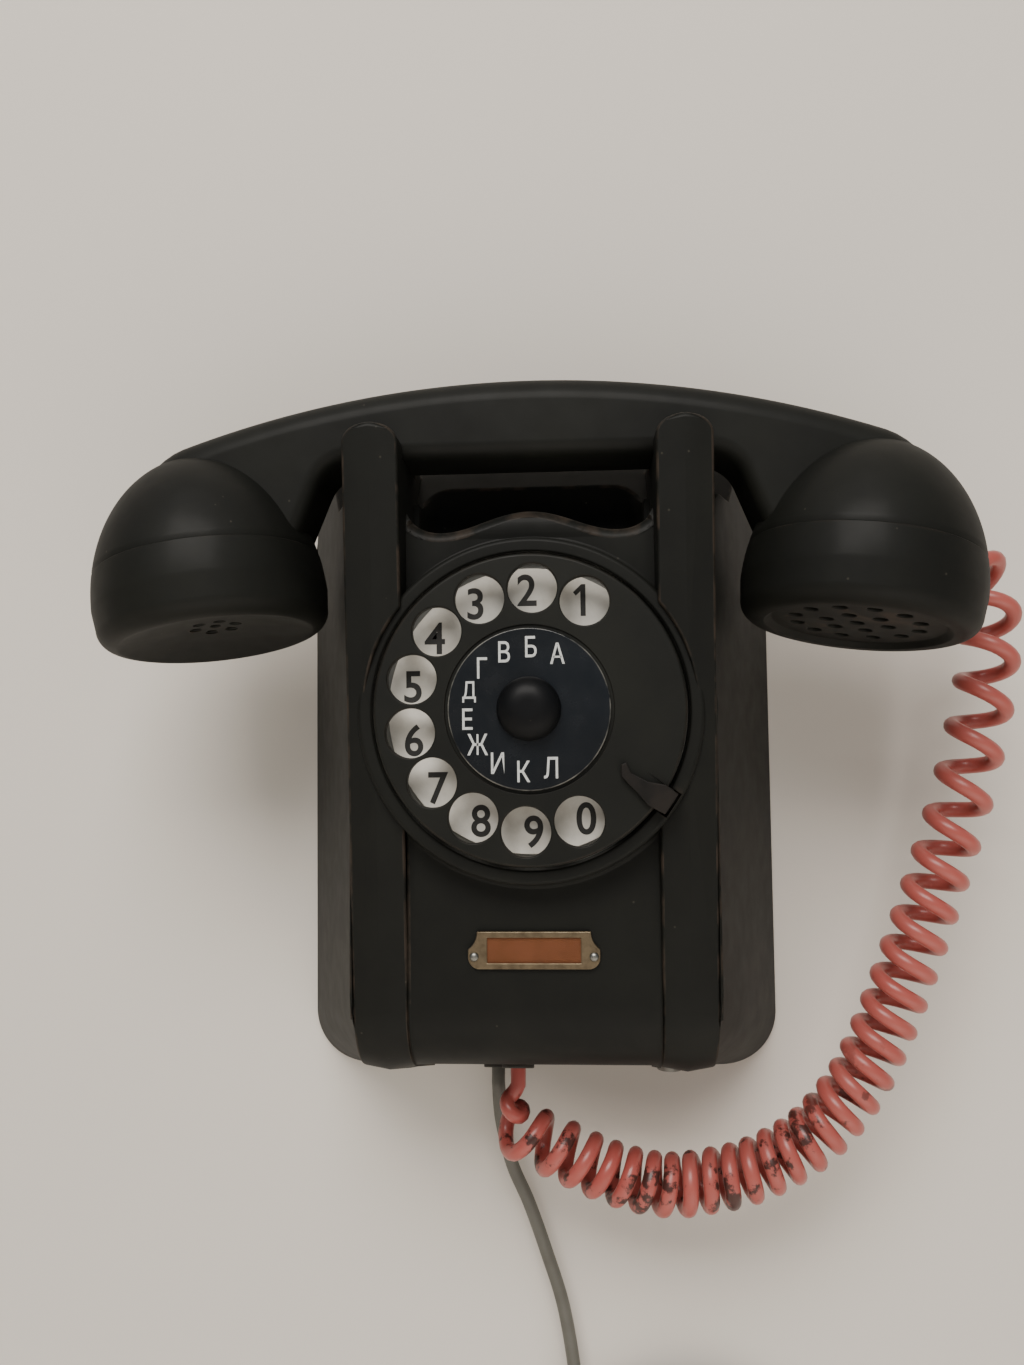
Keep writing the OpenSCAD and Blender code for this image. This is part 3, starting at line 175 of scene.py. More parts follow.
# A plain solid colour that varies with dirt: paint, card, rubber, sheath and plated metal share it
def makeSoiled(name, base, soil, soilMm, soilShare, rough, bumpMm=0.0, bumpSize=0.6, **shaderValues):
    material, shader, add, coords = newFinish(name, **shaderValues)
    place, (smooth, matt) = coords["Object"], rough
    noise = add("TexNoise", {"Scale": perMm(soilMm), "Detail": 6, "Roughness": 0.6}, {"Vector": place})
    share = add("MapRange", {"From Min": 0.4, "From Max": 0.72, "To Max": soilShare}, {"Value": noise})
    color = add("Mix", {6: hexColor(base), 7: hexColor(soil)}, {0: share}, data_type="RGBA")
    dull = add("MapRange", {"From Min": 0.3, "From Max": 0.7, "To Min": smooth, "To Max": matt},
               {"Value": noise})
    join(shader, {"Base Color": color, "Roughness": dull})
    if bumpMm:
        grain = add("TexNoise", {"Scale": perMm(bumpSize), "Detail": 3}, {"Vector": place})
        bump = add("Bump", {"Strength": 0.5, "Distance": bumpMm * mm}, {"Height": grain})
        join(shader, {"Normal": bump})
    return material


# Soft vinyl sheath, extruded: faded coral red, half gloss, with black scuffs where the curls hang lowest
redSheath = {
    "base": "#9e4640", "faded": "#aa5c54", "scuff": "#2c1a16",
    "fadeMm": 16, "scuffMm": 8,
    "scuffBelow": (-75, -105),  # heights between which the scuffs set in
}


def makeRedSheath(name, look):
    material, shader, add, coords = newFinish(name, IOR=1.5)
    place = coords["Object"]
    fade = add("TexNoise", {"Scale": perMm(look["fadeMm"]), "Detail": 4}, {"Vector": place})
    tone = add("Mix", {6: hexColor(look["base"]), 7: hexColor(look["faded"])}, {0: fade}, data_type="RGBA")
    spots = add("TexNoise", {"Scale": perMm(look["scuffMm"]), "Detail": 5, "Roughness": 0.65},
                {"Vector": place})
    spotty = add("MapRange", {"From Min": 0.55, "From Max": 0.6}, {"Value": spots})
    high = add("SeparateXYZ", None, {0: place})
    start, full = look["scuffBelow"]
    low = add("MapRange", {"From Min": start * mm, "From Max": full * mm, "To Max": 0.92},
              {"Value": high.outputs["Z"]})
    scuffed = add("Math", None, {0: spotty, 1: low}, operation="MULTIPLY")
    color = add("Mix", {7: hexColor(look["scuff"])}, {0: scuffed, 6: tone}, data_type="RGBA")
    dull = add("MapRange", {"From Min": 0.3, "From Max": 0.7, "To Min": 0.28, "To Max": 0.42},
               {"Value": fade})
    join(shader, {"Base Color": color, "Roughness": dull})
    return material


# Soiled: name, colour, dirt, its size in mm and share, roughness range, bump height and size in mm
finishes = {
    "bakelite": makeBakelite("wornBakelite", bakelite),
    # lacquered dial parts: a little cooler and flatter than the moulding
    "dial_black": makeBakelite("dialLacquer", dict(bakelite, base="#10110e", cloud="#161713",
                                                   rough=(0.5, 0.64))),
    # stove enamel on the number plate: yellowed, with grime from fingers
    "white_enamel": makeSoiled("agedEnamel", "#d9d6cd", "#9c9484", 9, 0.5, (0.3, 0.5)),
    # zinc-plated steel sheet and screws: grey and dull
    "steel": makeSoiled("platedSteel", "#8f8f8a", "#6a675f", 12, 0.6, (0.32, 0.5), Metallic=1.0),
    # blued steel: black, rubbed to bronze by fingers
    "black_steel": makeSoiled("rubbedBlueSteel", "#0f0d0b", "#241d17", 4, 0.5, (0.4, 0.6), 0.02,
                              Specular_IOR_Level=0.25),
    # nickel plate over brass: gone brown, bright only where it is rubbed
    "tarnished_nickel": makeSoiled("tarnishedNickel", "#80725c", "#43382b", 3, 0.75, (0.3, 0.5), 0.01,
                                   Metallic=0.9),
    # pressed card: matt, stained by age
    "card": makeSoiled("agedCard", "#5c2e15", "#42200e", 5, 0.6, (0.7, 0.9), 0.02, 0.3),
    # turned and stamped brass: satin yellow, browned in patches
    "brass": makeSoiled("brass", "#b59a55", "#7d6737", 6, 0.5, (0.3, 0.45), Metallic=1.0),
    # enamelled copper wire, wound and varnished: red-brown, half gloss
    "winding": makeSoiled("varnishedWire", "#7a3b22", "#4c2213", 2, 0.6, (0.35, 0.5)),
    # sprayed steel can: pale grey, half matt
    "can": makeSoiled("paintedCan", "#8b8f86", "#6b6d64", 10, 0.5, (0.4, 0.6)),
    # drawn aluminium: pale satin, a little dulled
    "aluminium_can": makeSoiled("satinAluminium", "#b0b0aa", "#8a8a84", 8, 0.5, (0.3, 0.45), Metallic=1.0),
    # wood-filled phenolic moulding: brown-black, half gloss
    "brown_moulding": makeSoiled("darkMoulding", "#34322d", "#1f1d1a", 9, 0.6, (0.35, 0.5), 0.01),
    # moulded rubber: matt, greyed by age
    "black_rubber": makeSoiled("agedRubber", "#262420", "#3a362f", 5, 0.6, (0.6, 0.85), 0.02),
    "red_cord": makeRedSheath("redVinyl", redSheath),
    # extruded vinyl: grey, rubbed dull
    "grey_cord": makeSoiled("greyVinyl", "#5d5c55", "#48463f", 12, 0.6, (0.4, 0.6), 0.01, 1.2),
    # cast celluloid film: clear amber, shiny
    "celluloid": makeSoiled("celluloidFilm", "#b8763f", "#94582c", 6, 0.4, (0.15, 0.3), Alpha=0.12),
}
# printing ink and stamped paint of the dial's signs: flat, rubbed thin in places
inkBlack = makeSoiled("dialInk", "#1a1917", "#34322e", 2, 0.4, (0.5, 0.7))
paintWhite = makeSoiled("dialPaint", "#c9ccca", "#8f9290", 1.5, 0.5, (0.45, 0.65))
# baked enamel of the letter disc: blue-black and glossier than the rest of the dial
discEnamel = makeBakelite("discEnamel", dict(bakelite, base="#0c0f13", cloud="#11151a", worn="#6a6963",
                                             rough=(0.2, 0.3), shine=0.36))
# the same enamel on the cap, dulled by the hand
capEnamel = makeBakelite("capEnamel", dict(bakelite, base="#08090a", cloud="#0c0d0f", rough=(0.42, 0.52),
                                           shine=0.1))
print("finishes made:", len(finishes) + 4)


# Every piece ends here: it goes into the scene, rides on its body and stands for its nodes
def setPiece(name, mesh, slot, body, replaced=(), material=None):
    mesh.name = name
    mesh.materials.clear()
    mesh.materials.append(material or finishes[slot])
    piece = newObject(name, mesh)
    if body:
        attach(piece, body)
    if replaced:
        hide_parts(*replaced)
    return piece


def takeMesh(holder):  # what a passing object shows, as a mesh
    mesh = bpy.data.meshes.new_from_object(holder.evaluated_get(bpy.context.evaluated_depsgraph_get()))
    bpy.data.objects.remove(holder)
    return mesh


# Cords
def tangentAt(path, i):
    return (path[min(i + 1, len(path) - 1)] - path[max(i - 1, 0)]).normalized()


def squareTo(direction, other):
    return (other - other.dot(direction) * direction).normalized()


def smoothRoute(points, steps):
    curve = []
    for i in range(len(points) - 1):
        a, b, c, d = (points[min(max(k, 0), len(points) - 1)] for k in (i - 1, i, i + 1, i + 2))
        for k in range(steps):
            u = k / steps
            curve.append(0.5 * (2 * b + (c - a) * u + (2 * a - 5 * b + 4 * c - d) * u ** 2
                                + (3 * b - a - 3 * c + d) * u ** 3))
    return curve + [points[-1]]


def runningLength(path):
    sums = [0.0]
    for a, b in zip(path, path[1:]):
        sums.append(sums[-1] + (b - a).length)
    return sums


def readTable(table, x):  # straight lines between the entries
    for (x0, y0), (x1, y1) in zip(table, table[1:]):
        if x <= x1:
            return y0 + (y1 - y0) * max(0.0, x - x0) / (x1 - x0)
    return table[-1][1]


def makeTube(name, path, diameter, sideSteps=5):
    curve = bpy.data.curves.new(name, "CURVE")
    curve.dimensions = "3D"
    curve.bevel_depth = diameter / 2 * mm
    curve.bevel_resolution = sideSteps
    curve.use_fill_caps = True
    spline = curve.splines.new("POLY")
    spline.points.add(len(path) - 1)
    for point, co in zip(spline.points, path):
        point.co = (*(co * mm), 1)
    mesh = takeMesh(newObject(name, curve))
    bpy.data.curves.remove(curve)
    mesh.shade_smooth()
    return mesh


slopedFloor = {  # the housing's floor, which both cords leave
    "tiltDeg": 15.6,
    "backEdge": -98,
}
floorTilt = radians(slopedFloor["tiltDeg"])
floorOut = Vector((0, -sin(floorTilt), -cos(floorTilt)))


def floorHeight(depth):
    return depth * tan(floorTilt) + slopedFloor["backEdge"]


def grommetEnd(cord):  # where a cord comes out of its grommet
    x, depth = cord["exitAt"]
    return Vector((x, -depth, floorHeight(depth))) + cord["flange"] * floorOut


redCord = {
    "wire": 4.4, "curl": 17.4,
    "rings": 8, "finer": 3, "lead": 8,  # points per curl, refinement, points of lead-in
    "gland": (88, -57, 56), "glandTurn": 40, "glandReach": 34.3,
    "exitAt": (-6.5, 28), "flange": 1.2,
    "route": [
        (126, -29, 51), (129, -31, 40), (127, -34, 22), (123, -35, 4), (118, -35, -15), (111, -34, -37),
        (104, -33, -57), (96, -32, -78), (87, -32, -95), (75, -31, -109), (60, -30, -118), (46, -29, -122),
        (34, -29, -123), (20, -29, -120), (6, -29, -114), (-5, -29, -109), (-10, -30, -104)],
    "steps": 10,
    # curl spacing along the route, from the handset to the body
    "pitch": [(0, 13.4), (0.26, 13.2), (0.34, 10), (0.5, 7.6), (0.67, 6), (0.82, 6), (0.9, 7.4), (0.94, 11),
              (1, 13)],
}


def curlPath():
    c = redCord
    wire, rings, finer, lead = c["wire"], c["rings"], c["finer"], c["lead"]
    turn = radians(c["glandTurn"])
    out = Vector((cos(turn), sin(turn), 0))
    start = Vector(c["gland"]) + c["glandReach"] * out
    end = grommetEnd(c)
    axis = smoothRoute([start + wire * out, *map(Vector, c["route"]), end + wire * floorOut], c["steps"])
    sums = runningLength(axis)
    tables = [list(zip(sums, [p[k] for p in axis])) for k in range(3)]
    stations, s = [], 0.0
    while s < sums[-1] - wire / 4:
        stations.append(s)
        s += readTable(c["pitch"], s / sums[-1]) / rings
    fine = [a + (b - a) * k / finer for a, b in zip(stations, stations[1:]) for k in range(finer)]
    centre = [Vector([readTable(t, s) for t in tables]) for s in [*fine, stations[-1]]]
    side = squareTo(tangentAt(centre, 0), Vector((0, 0, 1)))
    radius = (c["curl"] - wire) / 2
    curls = []
    for i, point in enumerate(centre):
        along = tangentAt(centre, i)
        side = squareTo(along, side)
        u = min(1, i / finer / lead, (len(centre) - 1 - i) / finer / lead)
        angle = -2 * pi * i / finer / rings
        reach = radius * u * u * (3 - 2 * u)
        curls.append(point + reach * (cos(angle) * side + sin(angle) * along.cross(side)))
    return [start, *curls, end + wire * floorOut, end]


redPath = curlPath()
redPiece = setPiece("curlyCord", makeTube("curlyCord", redPath, redCord["wire"]), "red_cord", None,
                    ["handset_cord"])
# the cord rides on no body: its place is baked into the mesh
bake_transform(redPiece)

greyCord = {
    "dia": 4.0, "exitAt": (-13.5, 11), "flange": 1.2,
    "route": [(-13, -9, -112), (-10, -7, -126), (-5, -6, -138), (0, -6, -152), (5, -6, -168), (8, -6, -186)],
    "steps": 8,
    "coilTop": (8, -6, -195), "inner": 16, "turns": 4, "pitch": 5.1, "climb": 0.5, "rings": 48, "tail": 33,
}


def linePath():
    c = greyCord
    start = grommetEnd(c)
    dia, inner, turns, pitch = c["dia"], c["inner"], c["turns"], c["pitch"]
    outer = inner + turns * pitch
    top = Vector(c["coilTop"])
    lead = top + Vector((0, 0, dia - outer))
    middle = top + Vector((outer, 0, -outer))
    bends = [start + dia * floorOut, *map(Vector, c["route"]), top, lead + Vector((0, 0, dia))]
    path = [start, *smoothRoute(bends, c["steps"]), lead]
    # inwards in one layer, then outwards in the next, ending half a turn on
    for i in range(int((2 * turns + c["climb"] + 0.5) * c["rings"]) + 1):
        t = i / c["rings"]
        angle = pi + 2 * pi * t
        radius = inner + pitch * max(0, turns - t, t - turns - c["climb"])
        layer = pitch * min(1, max(0, (t - turns) / c["climb"]))
        path.append(middle + Vector((radius * cos(angle), -layer, radius * sin(angle))))
    tail = path[-1] - Vector((0, 0, c["tail"]))
    return path + [tail + Vector((0, 0, dia)), tail]


greyPath = linePath()
greyPiece = setPiece("lineCord", makeTube("lineCord", greyPath, greyCord["dia"]), "grey_cord", "phone",
                     ["line_cord", "line_coil"])


# Shape helpers: everything is modelled in millimetres and scaled once, when the piece is set
dialHeight = 10
across = Matrix(((0, 0, 1, 0), (-1, 0, 0, 0), (0, 1, 0, 0), (0, 0, 0, 1)))  # (depth, height), along X
forward = Matrix(((1, 0, 0, 0), (0, 0, -1, 0), (0, 1, 0, 0), (0, 0, 0, 1)))  # (x, height), along the depth
upward = Matrix(((1, 0, 0, 0), (0, -1, 0, 0), (0, 0, 1, 0), (0, 0, 0, 1)))  # (x, depth), along Z
dialFrame = Matrix.Translation((0, 0, dialHeight)) @ forward


def arcPoints(centre, radius, start, end, steps=24):
    turns = [radians(start + (end - start) * i / steps) for i in range(steps + 1)]
    return [(centre[0] + radius * cos(a), centre[1] + radius * sin(a)) for a in turns]


def roundRect(halfWidth, low, high, lowRadius, highRadius):
    return [*arcPoints((halfWidth - lowRadius, low + lowRadius), lowRadius, -90, 0),
            *arcPoints((halfWidth - highRadius, high - highRadius), highRadius, 0, 90),
            *arcPoints((highRadius - halfWidth, high - highRadius), highRadius, 90, 180),
            *arcPoints((lowRadius - halfWidth, low + lowRadius), lowRadius, 180, 270)]


def roundChain(corners, steps=6):  # (x, y, radius) corners to a chain with its corners rounded
    chain = []
    for i, (x, y, radius) in enumerate(corners):
        here = Vector((x, y))
        if not radius or i in (0, len(corners) - 1):
            chain.append(here)
            continue
        before = (Vector(corners[i - 1][:2]) - here).normalized()
        after = (Vector(corners[i + 1][:2]) - here).normalized()
        half = before.angle(after) / 2
        centre = here + (before + after).normalized() * radius / sin(half)
        first = here + before * radius / tan(half) - centre
        last = here + after * radius / tan(half) - centre
        for k in range(steps + 1):
            chain.append(centre + (first * (1 - k / steps) + last * (k / steps)).normalized() * radius)
    return chain


def meshFrom(bm, name):
    mesh = bpy.data.meshes.new(name)
    bm.to_mesh(mesh)
    bm.free()
    return mesh


def toMesh(bm, pose):
    bm.transform(pose)
    bmesh.ops.recalc_face_normals(bm, faces=bm.faces)
    if bm.calc_volume(signed=True) < 0:
        bmesh.ops.reverse_faces(bm, faces=bm.faces)
    return meshFrom(bm, "form")


def vertsOf(made):
    return [g for g in made if isinstance(g, bmesh.types.BMVert)]


def extruded(points, low, high):
    bm = bmesh.new()
    face = bm.faces.new([bm.verts.new((p[0], p[1], low)) for p in points])
    made = bmesh.ops.extrude_face_region(bm, geom=[face])["geom"]
    bmesh.ops.translate(bm, vec=(0, 0, high - low), verts=vertsOf(made))
    return bm


def prism(points, low, high, pose):
    return toMesh(extruded(points, low, high), pose)


def loftOutlines(stations, pose):  # (height, outline) pairs whose points match
    bm = bmesh.new()
    low, outline = stations[0]
    face = bm.faces.new([bm.verts.new((p[0], p[1], low)) for p in outline])
    for i, (height, outline) in enumerate(stations[1:]):
        made = bmesh.ops.extrude_face_region(bm, geom=[face])["geom"]
        if i:  # a face between two stations would lie inside
            bmesh.ops.delete(bm, geom=[face], context="FACES_ONLY")
        face = next(g for g in made if isinstance(g, bmesh.types.BMFace))
        for vert, point in zip(face.verts, outline):
            vert.co = (point[0], point[1], height)
    return toMesh(bm, pose)


def spinChain(chain, pose, steps=96, closed=False):  # (radius, height) about the frame's z
    bm = bmesh.new()
    verts = [bm.verts.new((p[0], 0, p[1])) for p in chain if p[0] > 0]  # flat ends are filled below
    pairs = list(zip(verts, verts[1:])) + ([(verts[-1], verts[0])] if closed else [])
    edges = [bm.edges.new(pair) for pair in pairs]
    bmesh.ops.spin(bm, geom=verts + edges, cent=(0, 0, 0), axis=(0, 0, 1), dvec=(0, 0, 0), angle=2 * pi,
                   steps=steps, use_merge=True)
    bmesh.ops.remove_doubles(bm, verts=bm.verts, dist=0.001)
    bmesh.ops.holes_fill(bm, edges=[e for e in bm.edges if e.is_boundary], sides=0)
    return toMesh(bm, pose)


def carve(mesh, *steps):  # (operation, tool mesh) pairs
    holder = newObject("holder", mesh)
    tools = []
    for operation, tool in steps:
        tools.append(newObject("tool", tool))
        cut = holder.modifiers.new(operation, "BOOLEAN")
        cut.operation, cut.solver, cut.object = operation, "EXACT", tools[-1]
    result = takeMesh(holder)
    bpy.data.meshes.remove(mesh)
    for tool in tools:
        used = tool.data
        bpy.data.objects.remove(tool)
        bpy.data.meshes.remove(used)
    return result


def markWear(mesh, least, most):  # edgeWear from how sharply the skin bends outwards, in degrees
    bm = bmesh.new()
    bm.from_mesh(mesh)
    worn = bm.verts.layers.float.new("edgeWear")
    for vert in bm.verts:
        bend = max((degrees(e.calc_face_angle_signed(0)) for e in vert.link_edges), default=0)
        vert[worn] = min(1, max(0, (bend - least) / (most - least)))
    bm.to_mesh(mesh)
    bm.free()


def roundEdges(bm, edges, radius, segments):
    return bmesh.ops.bevel(bm, geom=edges, offset=radius, offset_type="OFFSET", segments=segments, profile=0.5,
                           affect="EDGES", clamp_overlap=False, material=-1)["faces"]


def breakEdges(bm, edges, radius, segments, outDeg=5):  # rounded edges, worn where they stand out
    worn = bm.faces.layers.float.get("edgeWear") or bm.faces.layers.float.new("edgeWear")
    for face in roundEdges(bm, edges, radius, segments):
        if max(e.calc_face_angle_signed(0) for e in face.edges) > radians(outDeg):
            face[worn] = 1.0


def setMoulding(name, mesh, node, sharpDeg=35, material=None, replaced=None):
    mesh.transform(Matrix.Scale(mm, 4))
    mesh.shade_smooth()
    mesh.set_sharp_from_angle(angle=radians(sharpDeg))
    replaced = [node] if replaced is None else replaced
    piece = setPiece(name, mesh, slotOf[node], bodyOf[node], replaced, material)
    piece.modifiers.new("weigh", "WEIGHTED_NORMAL").keep_sharp = True
    return piece


# Housing: a flared shell with a rounded foot, two leaning ribs that end in horns, and a hand trough
body = {
    "halfWidth": 72, "halfHeight": -slopedFloor["backEdge"], "panel": 64, "wall": 3,
    "lowCorner": 18, "topCorner": 34, "footRadius": 20,
    "shoulder": 68, "shoulderRadius": 10, "backTop": 20,
    "cradleBack": 45.6, "cradleFront": 68.4, "cradleFloor": 76.2,
    "ribMiddle": 39.7, "ribWide": 14.4, "ribProud": 1.5, "ribLean": 5.3, "ribGable": 1.3, "ribRoot": 14,
    "hornTop": 83.2, "hornRadius": 1.6, "hornCrown": 5,
    "crownShort": 0.05,  # keeps the crown off the horn's flat top
    "troughBack": 40, "troughFloor": 49.5, "troughSide": 1.5, "troughCorner": 8,
    "lip": 60.4, "lipWave": 2.8, "lipThick": 6.5, "lipRise": 7, "lipShare": 0.72, "lipBack": 50,
    "lipEnd": 0.97,  # how far round the quarter ellipse its ends go
    "bore": 42, "plungerHole": 4.3,
    "sharpDeg": 24, "edges": (0.7, 3), "lipEdges": (2.9, 7),  # radius and segments
}


def lipHeight(x):
    b = body
    inner = b["ribMiddle"] - b["ribWide"] / 2
    bend = inner * b["lipShare"]
    if abs(x) <= bend:
        return b["lip"] + b["lipWave"] * cos(pi * x / bend)
    end = b["lipEnd"] * (abs(x) - bend) / (inner - bend)
    return b["lip"] - b["lipWave"] + b["lipRise"] * (1 - sqrt(max(0, 1 - end ** 2)))


def makeHousing():
    b = body
    high, wide, panel, wall, tilt = b["halfHeight"], b["halfWidth"], b["panel"], b["wall"], degrees(floorTilt)
    rear, fore, shoulder = b["cradleBack"], b["cradleFront"], b["shoulder"]
    footDepth = panel - b["footRadius"]
    foot = (footDepth, footDepth * tan(floorTilt) + b["footRadius"] / cos(floorTilt) - high)
    half = b["ribWide"] / 2
    ribOut, ribIn = b["ribMiddle"] + half, b["ribMiddle"] - half
    flare = (wide - ribOut) / (panel + 2)
    run = (rear - b["backTop"]) / (high - shoulder)  # back slope, depth per height
    soft = b["shoulderRadius"]
    past, farFront, farUp, farAlong = 5, 120, 150, 200  # reach of the cutting forms
    profile = [(0, -high), *arcPoints(foot, b["footRadius"], tilt - 90, 0, 40),
               *arcPoints((panel - soft, shoulder - soft), soft, 0, 90),
               (rear, shoulder), (b["backTop"], high), (0, high)]

    def sidePlan(back, inset):  # the flared sides from above
        front = panel + 4
        atBack, atFront = wide - flare * back - inset, wide - flare * front - inset
        return [(-atBack, back), (atBack, back), (atFront, front), (-atFront, front)]

    # the edges between sides and floor are rounded along their whole run
    sideOut = Vector((1, -flare, 0)).normalized()
    meet = sideOut.dot(floorOut)
    edgeBack = Vector((flare, 1, -tan(floorTilt))).normalized()
    edgeFrame = Matrix((sideOut, edgeBack.cross(sideOut), edgeBack)).transposed().to_4x4()
    edgeFrame.translation = Vector((wide, 0, -high)) - b["lowCorner"] / (1 + meet) * (sideOut + floorOut)
    mirror = Matrix.Diagonal((-1, 1, 1, 1))
    turn = degrees(acos(meet))

    def edgeWaste(radius):
        outer = 2 * b["lowCorner"]
        rise = outer * sin(radians(turn))
        sector = [*arcPoints((0, 0), radius, 0, turn), (outer * meet, rise), (outer * (1 + meet), rise),
                  (outer, 0)]
        return [("DIFFERENCE", prism(sector, -farAlong, farAlong, m @ edgeFrame)) for m in (Matrix(), mirror)]

    shell = prism(profile, -wide - past, wide + past, across)
    front = prism(roundRect(wide, -high - 1, high, 0.5, b["topCorner"]), -1, panel + 3, forward)
    shell = carve(shell, ("INTERSECT", prism(sidePlan(-1, 0), -high - past, high + past, upward)),
                  ("INTERSECT", front), *edgeWaste(b["lowCorner"]))
    # ribs: a side profile whose ridge stands out along the middle, under a crowned top
    lean = radians(b["ribLean"])
    top, horn = b["hornTop"], b["hornRadius"]
    slopeIn = wall / 2 * sqrt(1 + run ** 2)

    def ribSide(proud):
        reach = b["footRadius"] + proud
        faceFoot = (foot[0] + reach * cos(lean), foot[1] - reach * sin(lean))
        hornFace = faceFoot[0] + (top - horn - faceFoot[1]) * tan(lean)
        return [(b["ribRoot"], floorHeight(b["ribRoot"]) - proud / cos(floorTilt)),
                *arcPoints(foot, reach, tilt - 90, -b["ribLean"], 40),
                *arcPoints((hornFace - horn, top - horn), horn, 0, 90, 10),
                (fore, top), (fore, b["cradleFloor"]), (rear, b["cradleFloor"]),
                (rear, top - 1), (rear - (top - 1 - shoulder) * run - slopeIn, top - 1),
                (b["ribRoot"], shoulder - b["shoulderRadius"])]

    ridge, flank = ribSide(b["ribProud"]), ribSide(b["ribProud"] - b["ribGable"])
    crown = [(-half, -high - past), (half, -high - past)]
    for i in range(25):
        a = radians(7.5 * i)
        crown.append((half * cos(a), top - b["hornCrown"] + (b["hornCrown"] - b["crownShort"]) * sin(a)))
    for x in (-b["ribMiddle"], b["ribMiddle"]):
        rib = carve(loftOutlines([(-half, flank), (0, ridge), (half, flank)], across),
                    ("INTERSECT", prism(crown, -past, farFront, forward)))
        rib.transform(Matrix.Translation((x, 0, 0)))
        shell = carve(shell, ("UNION", rib))
    # hollow: the same form moved in by the wall
    backIn = wall * sqrt(1 + run ** 2)
    ceiling = b["troughFloor"] - wall
    behind = b["troughBack"] - wall
    topIn = high - wall
    hollow = [(-2, floorHeight(-2) + wall / cos(floorTilt)),
              *arcPoints(foot, b["footRadius"] - wall, tilt - 90, 0),
              (panel - wall, ceiling), (behind, ceiling), (behind, shoulder + (rear - backIn - behind) / run),
              (rear - (topIn - shoulder) * run - backIn, topIn), (-2, topIn)]
    hollow = prism(hollow, -wide, wide, across)
    planIn = sidePlan(-2, wall * sqrt(1 + flare ** 2))
    front = prism(roundRect(wide - wall, -high, topIn, 0.5, b["topCorner"] - wall), -3, panel, forward)
    hollow = carve(hollow, ("INTERSECT", prism(planIn, -high, high, upward)),
                   ("INTERSECT", front), *edgeWaste(b["lowCorner"] - wall))
    # trough, wavy lip, dial opening and plunger holes
    lipBack = panel - b["lipThick"]
    corner = b["troughCorner"]
    pocket = roundRect(ribIn - b["troughSide"], 0, lipBack - b["troughBack"], corner, corner / 2)
    pocket = [(x, y + b["troughBack"]) for x, y in pocket]
    wave = [(ribIn, farUp), (-ribIn, farUp)]
    wave += [(x, lipHeight(x)) for x in (ribIn * (i / 40 - 1) for i in range(81))]
    cuts = [hollow, prism(pocket, b["troughFloor"], farUp, upward),
            prism(wave, b["lipBack"], farFront, forward),
            prism(arcPoints((0, 0), b["bore"], 0, 360 - 3.75, 95), panel - 2 * wall, farFront, dialFrame)]
    for x in (-b["ribMiddle"], b["ribMiddle"]):
        hole = Matrix.Translation((x, -(rear + fore) / 2, 0))
        bore = arcPoints((0, 0), b["plungerHole"], 0, 345, 23)
        cuts.append(prism(bore, shoulder - 30, farFront, hole))
    shell = carve(shell, *[("DIFFERENCE", cut) for cut in cuts])
    # edges are broken, the lip's more; the corners at the trough's ends stay as cut
    bm = bmesh.new()
    bm.from_mesh(shell)
    bmesh.ops.remove_doubles(bm, verts=bm.verts, dist=0.02)
    bmesh.ops.dissolve_degenerate(bm, dist=0.01, edges=bm.edges)

    def onLip(v):
        return abs(v.co.x) < ribIn - 1 and abs(v.co.z - lipHeight(v.co.x)) < 0.3 and -v.co.y > lipBack - 1

    def atEnd(v):
        return (abs(abs(v.co.x) - ribIn) < 2 and b["troughFloor"] - 2 < v.co.z < shoulder + 2
                and b["troughBack"] - 2 < -v.co.y < panel + 2.5)

    bent = [e for e in bm.edges if e.calc_face_angle(0) > radians(b["sharpDeg"])]
    lip = {e for e in bent if all(onLip(v) for v in e.verts)}
    rest = [e for e in bent if e not in lip and not any(atEnd(v) for v in e.verts)]
    breakEdges(bm, rest, *b["edges"])
    breakEdges(bm, [e for e in lip if e.is_valid], *b["lipEdges"])
    bm.to_mesh(shell)
    bm.free()
    return setMoulding("housingShell", shell, "housing")


print("housing:", len(makeHousing().data.polygons), "faces")


# Dial collar: the turned ring of the housing around the wheel, with the slot of the finger stop
collar = {
    "ledge": 36, "bore": 40.2, "outer": 44, "skirt": 48, "fillet": 2.4,
    "back": 61, "seat": 64, "front": 72.5, "frontRound": 1.3,
    "stopTurn": 325.5,
    "slot": (39, 43.2, 3.5, 67),  # near, far, half width, floor
    "wear": (14, 40),
}


def makeCollar():
    c = collar
    ledge, bore, outer, skirt, back, seat = (c[k] for k in "ledge bore outer skirt back seat".split())
    chain = roundChain([(ledge, back, 0), (ledge, seat, 0.3), (bore, seat, 0.3), (bore, c["front"], 0.6),
                        (outer, c["front"], c["frontRound"]), (outer, seat, c["fillet"]),
                        (skirt, seat - 0.1, 0.1), (skirt, back, 0.1), (ledge, back, 0)], 8)[:-1]
    ring = spinChain(chain, dialFrame, 144, closed=True)
    near, far, half, deep = c["slot"]
    slot = prism([(near, -half), (far, -half), (far, half), (near, half)], deep, 90,
                 dialFrame @ Matrix.Rotation(radians(c["stopTurn"]), 4, "Z"))
    ring = carve(ring, ("DIFFERENCE", slot))
    markWear(ring, *c["wear"])
    setMoulding("dialCollar", ring, "housing", replaced=[])


makeCollar()


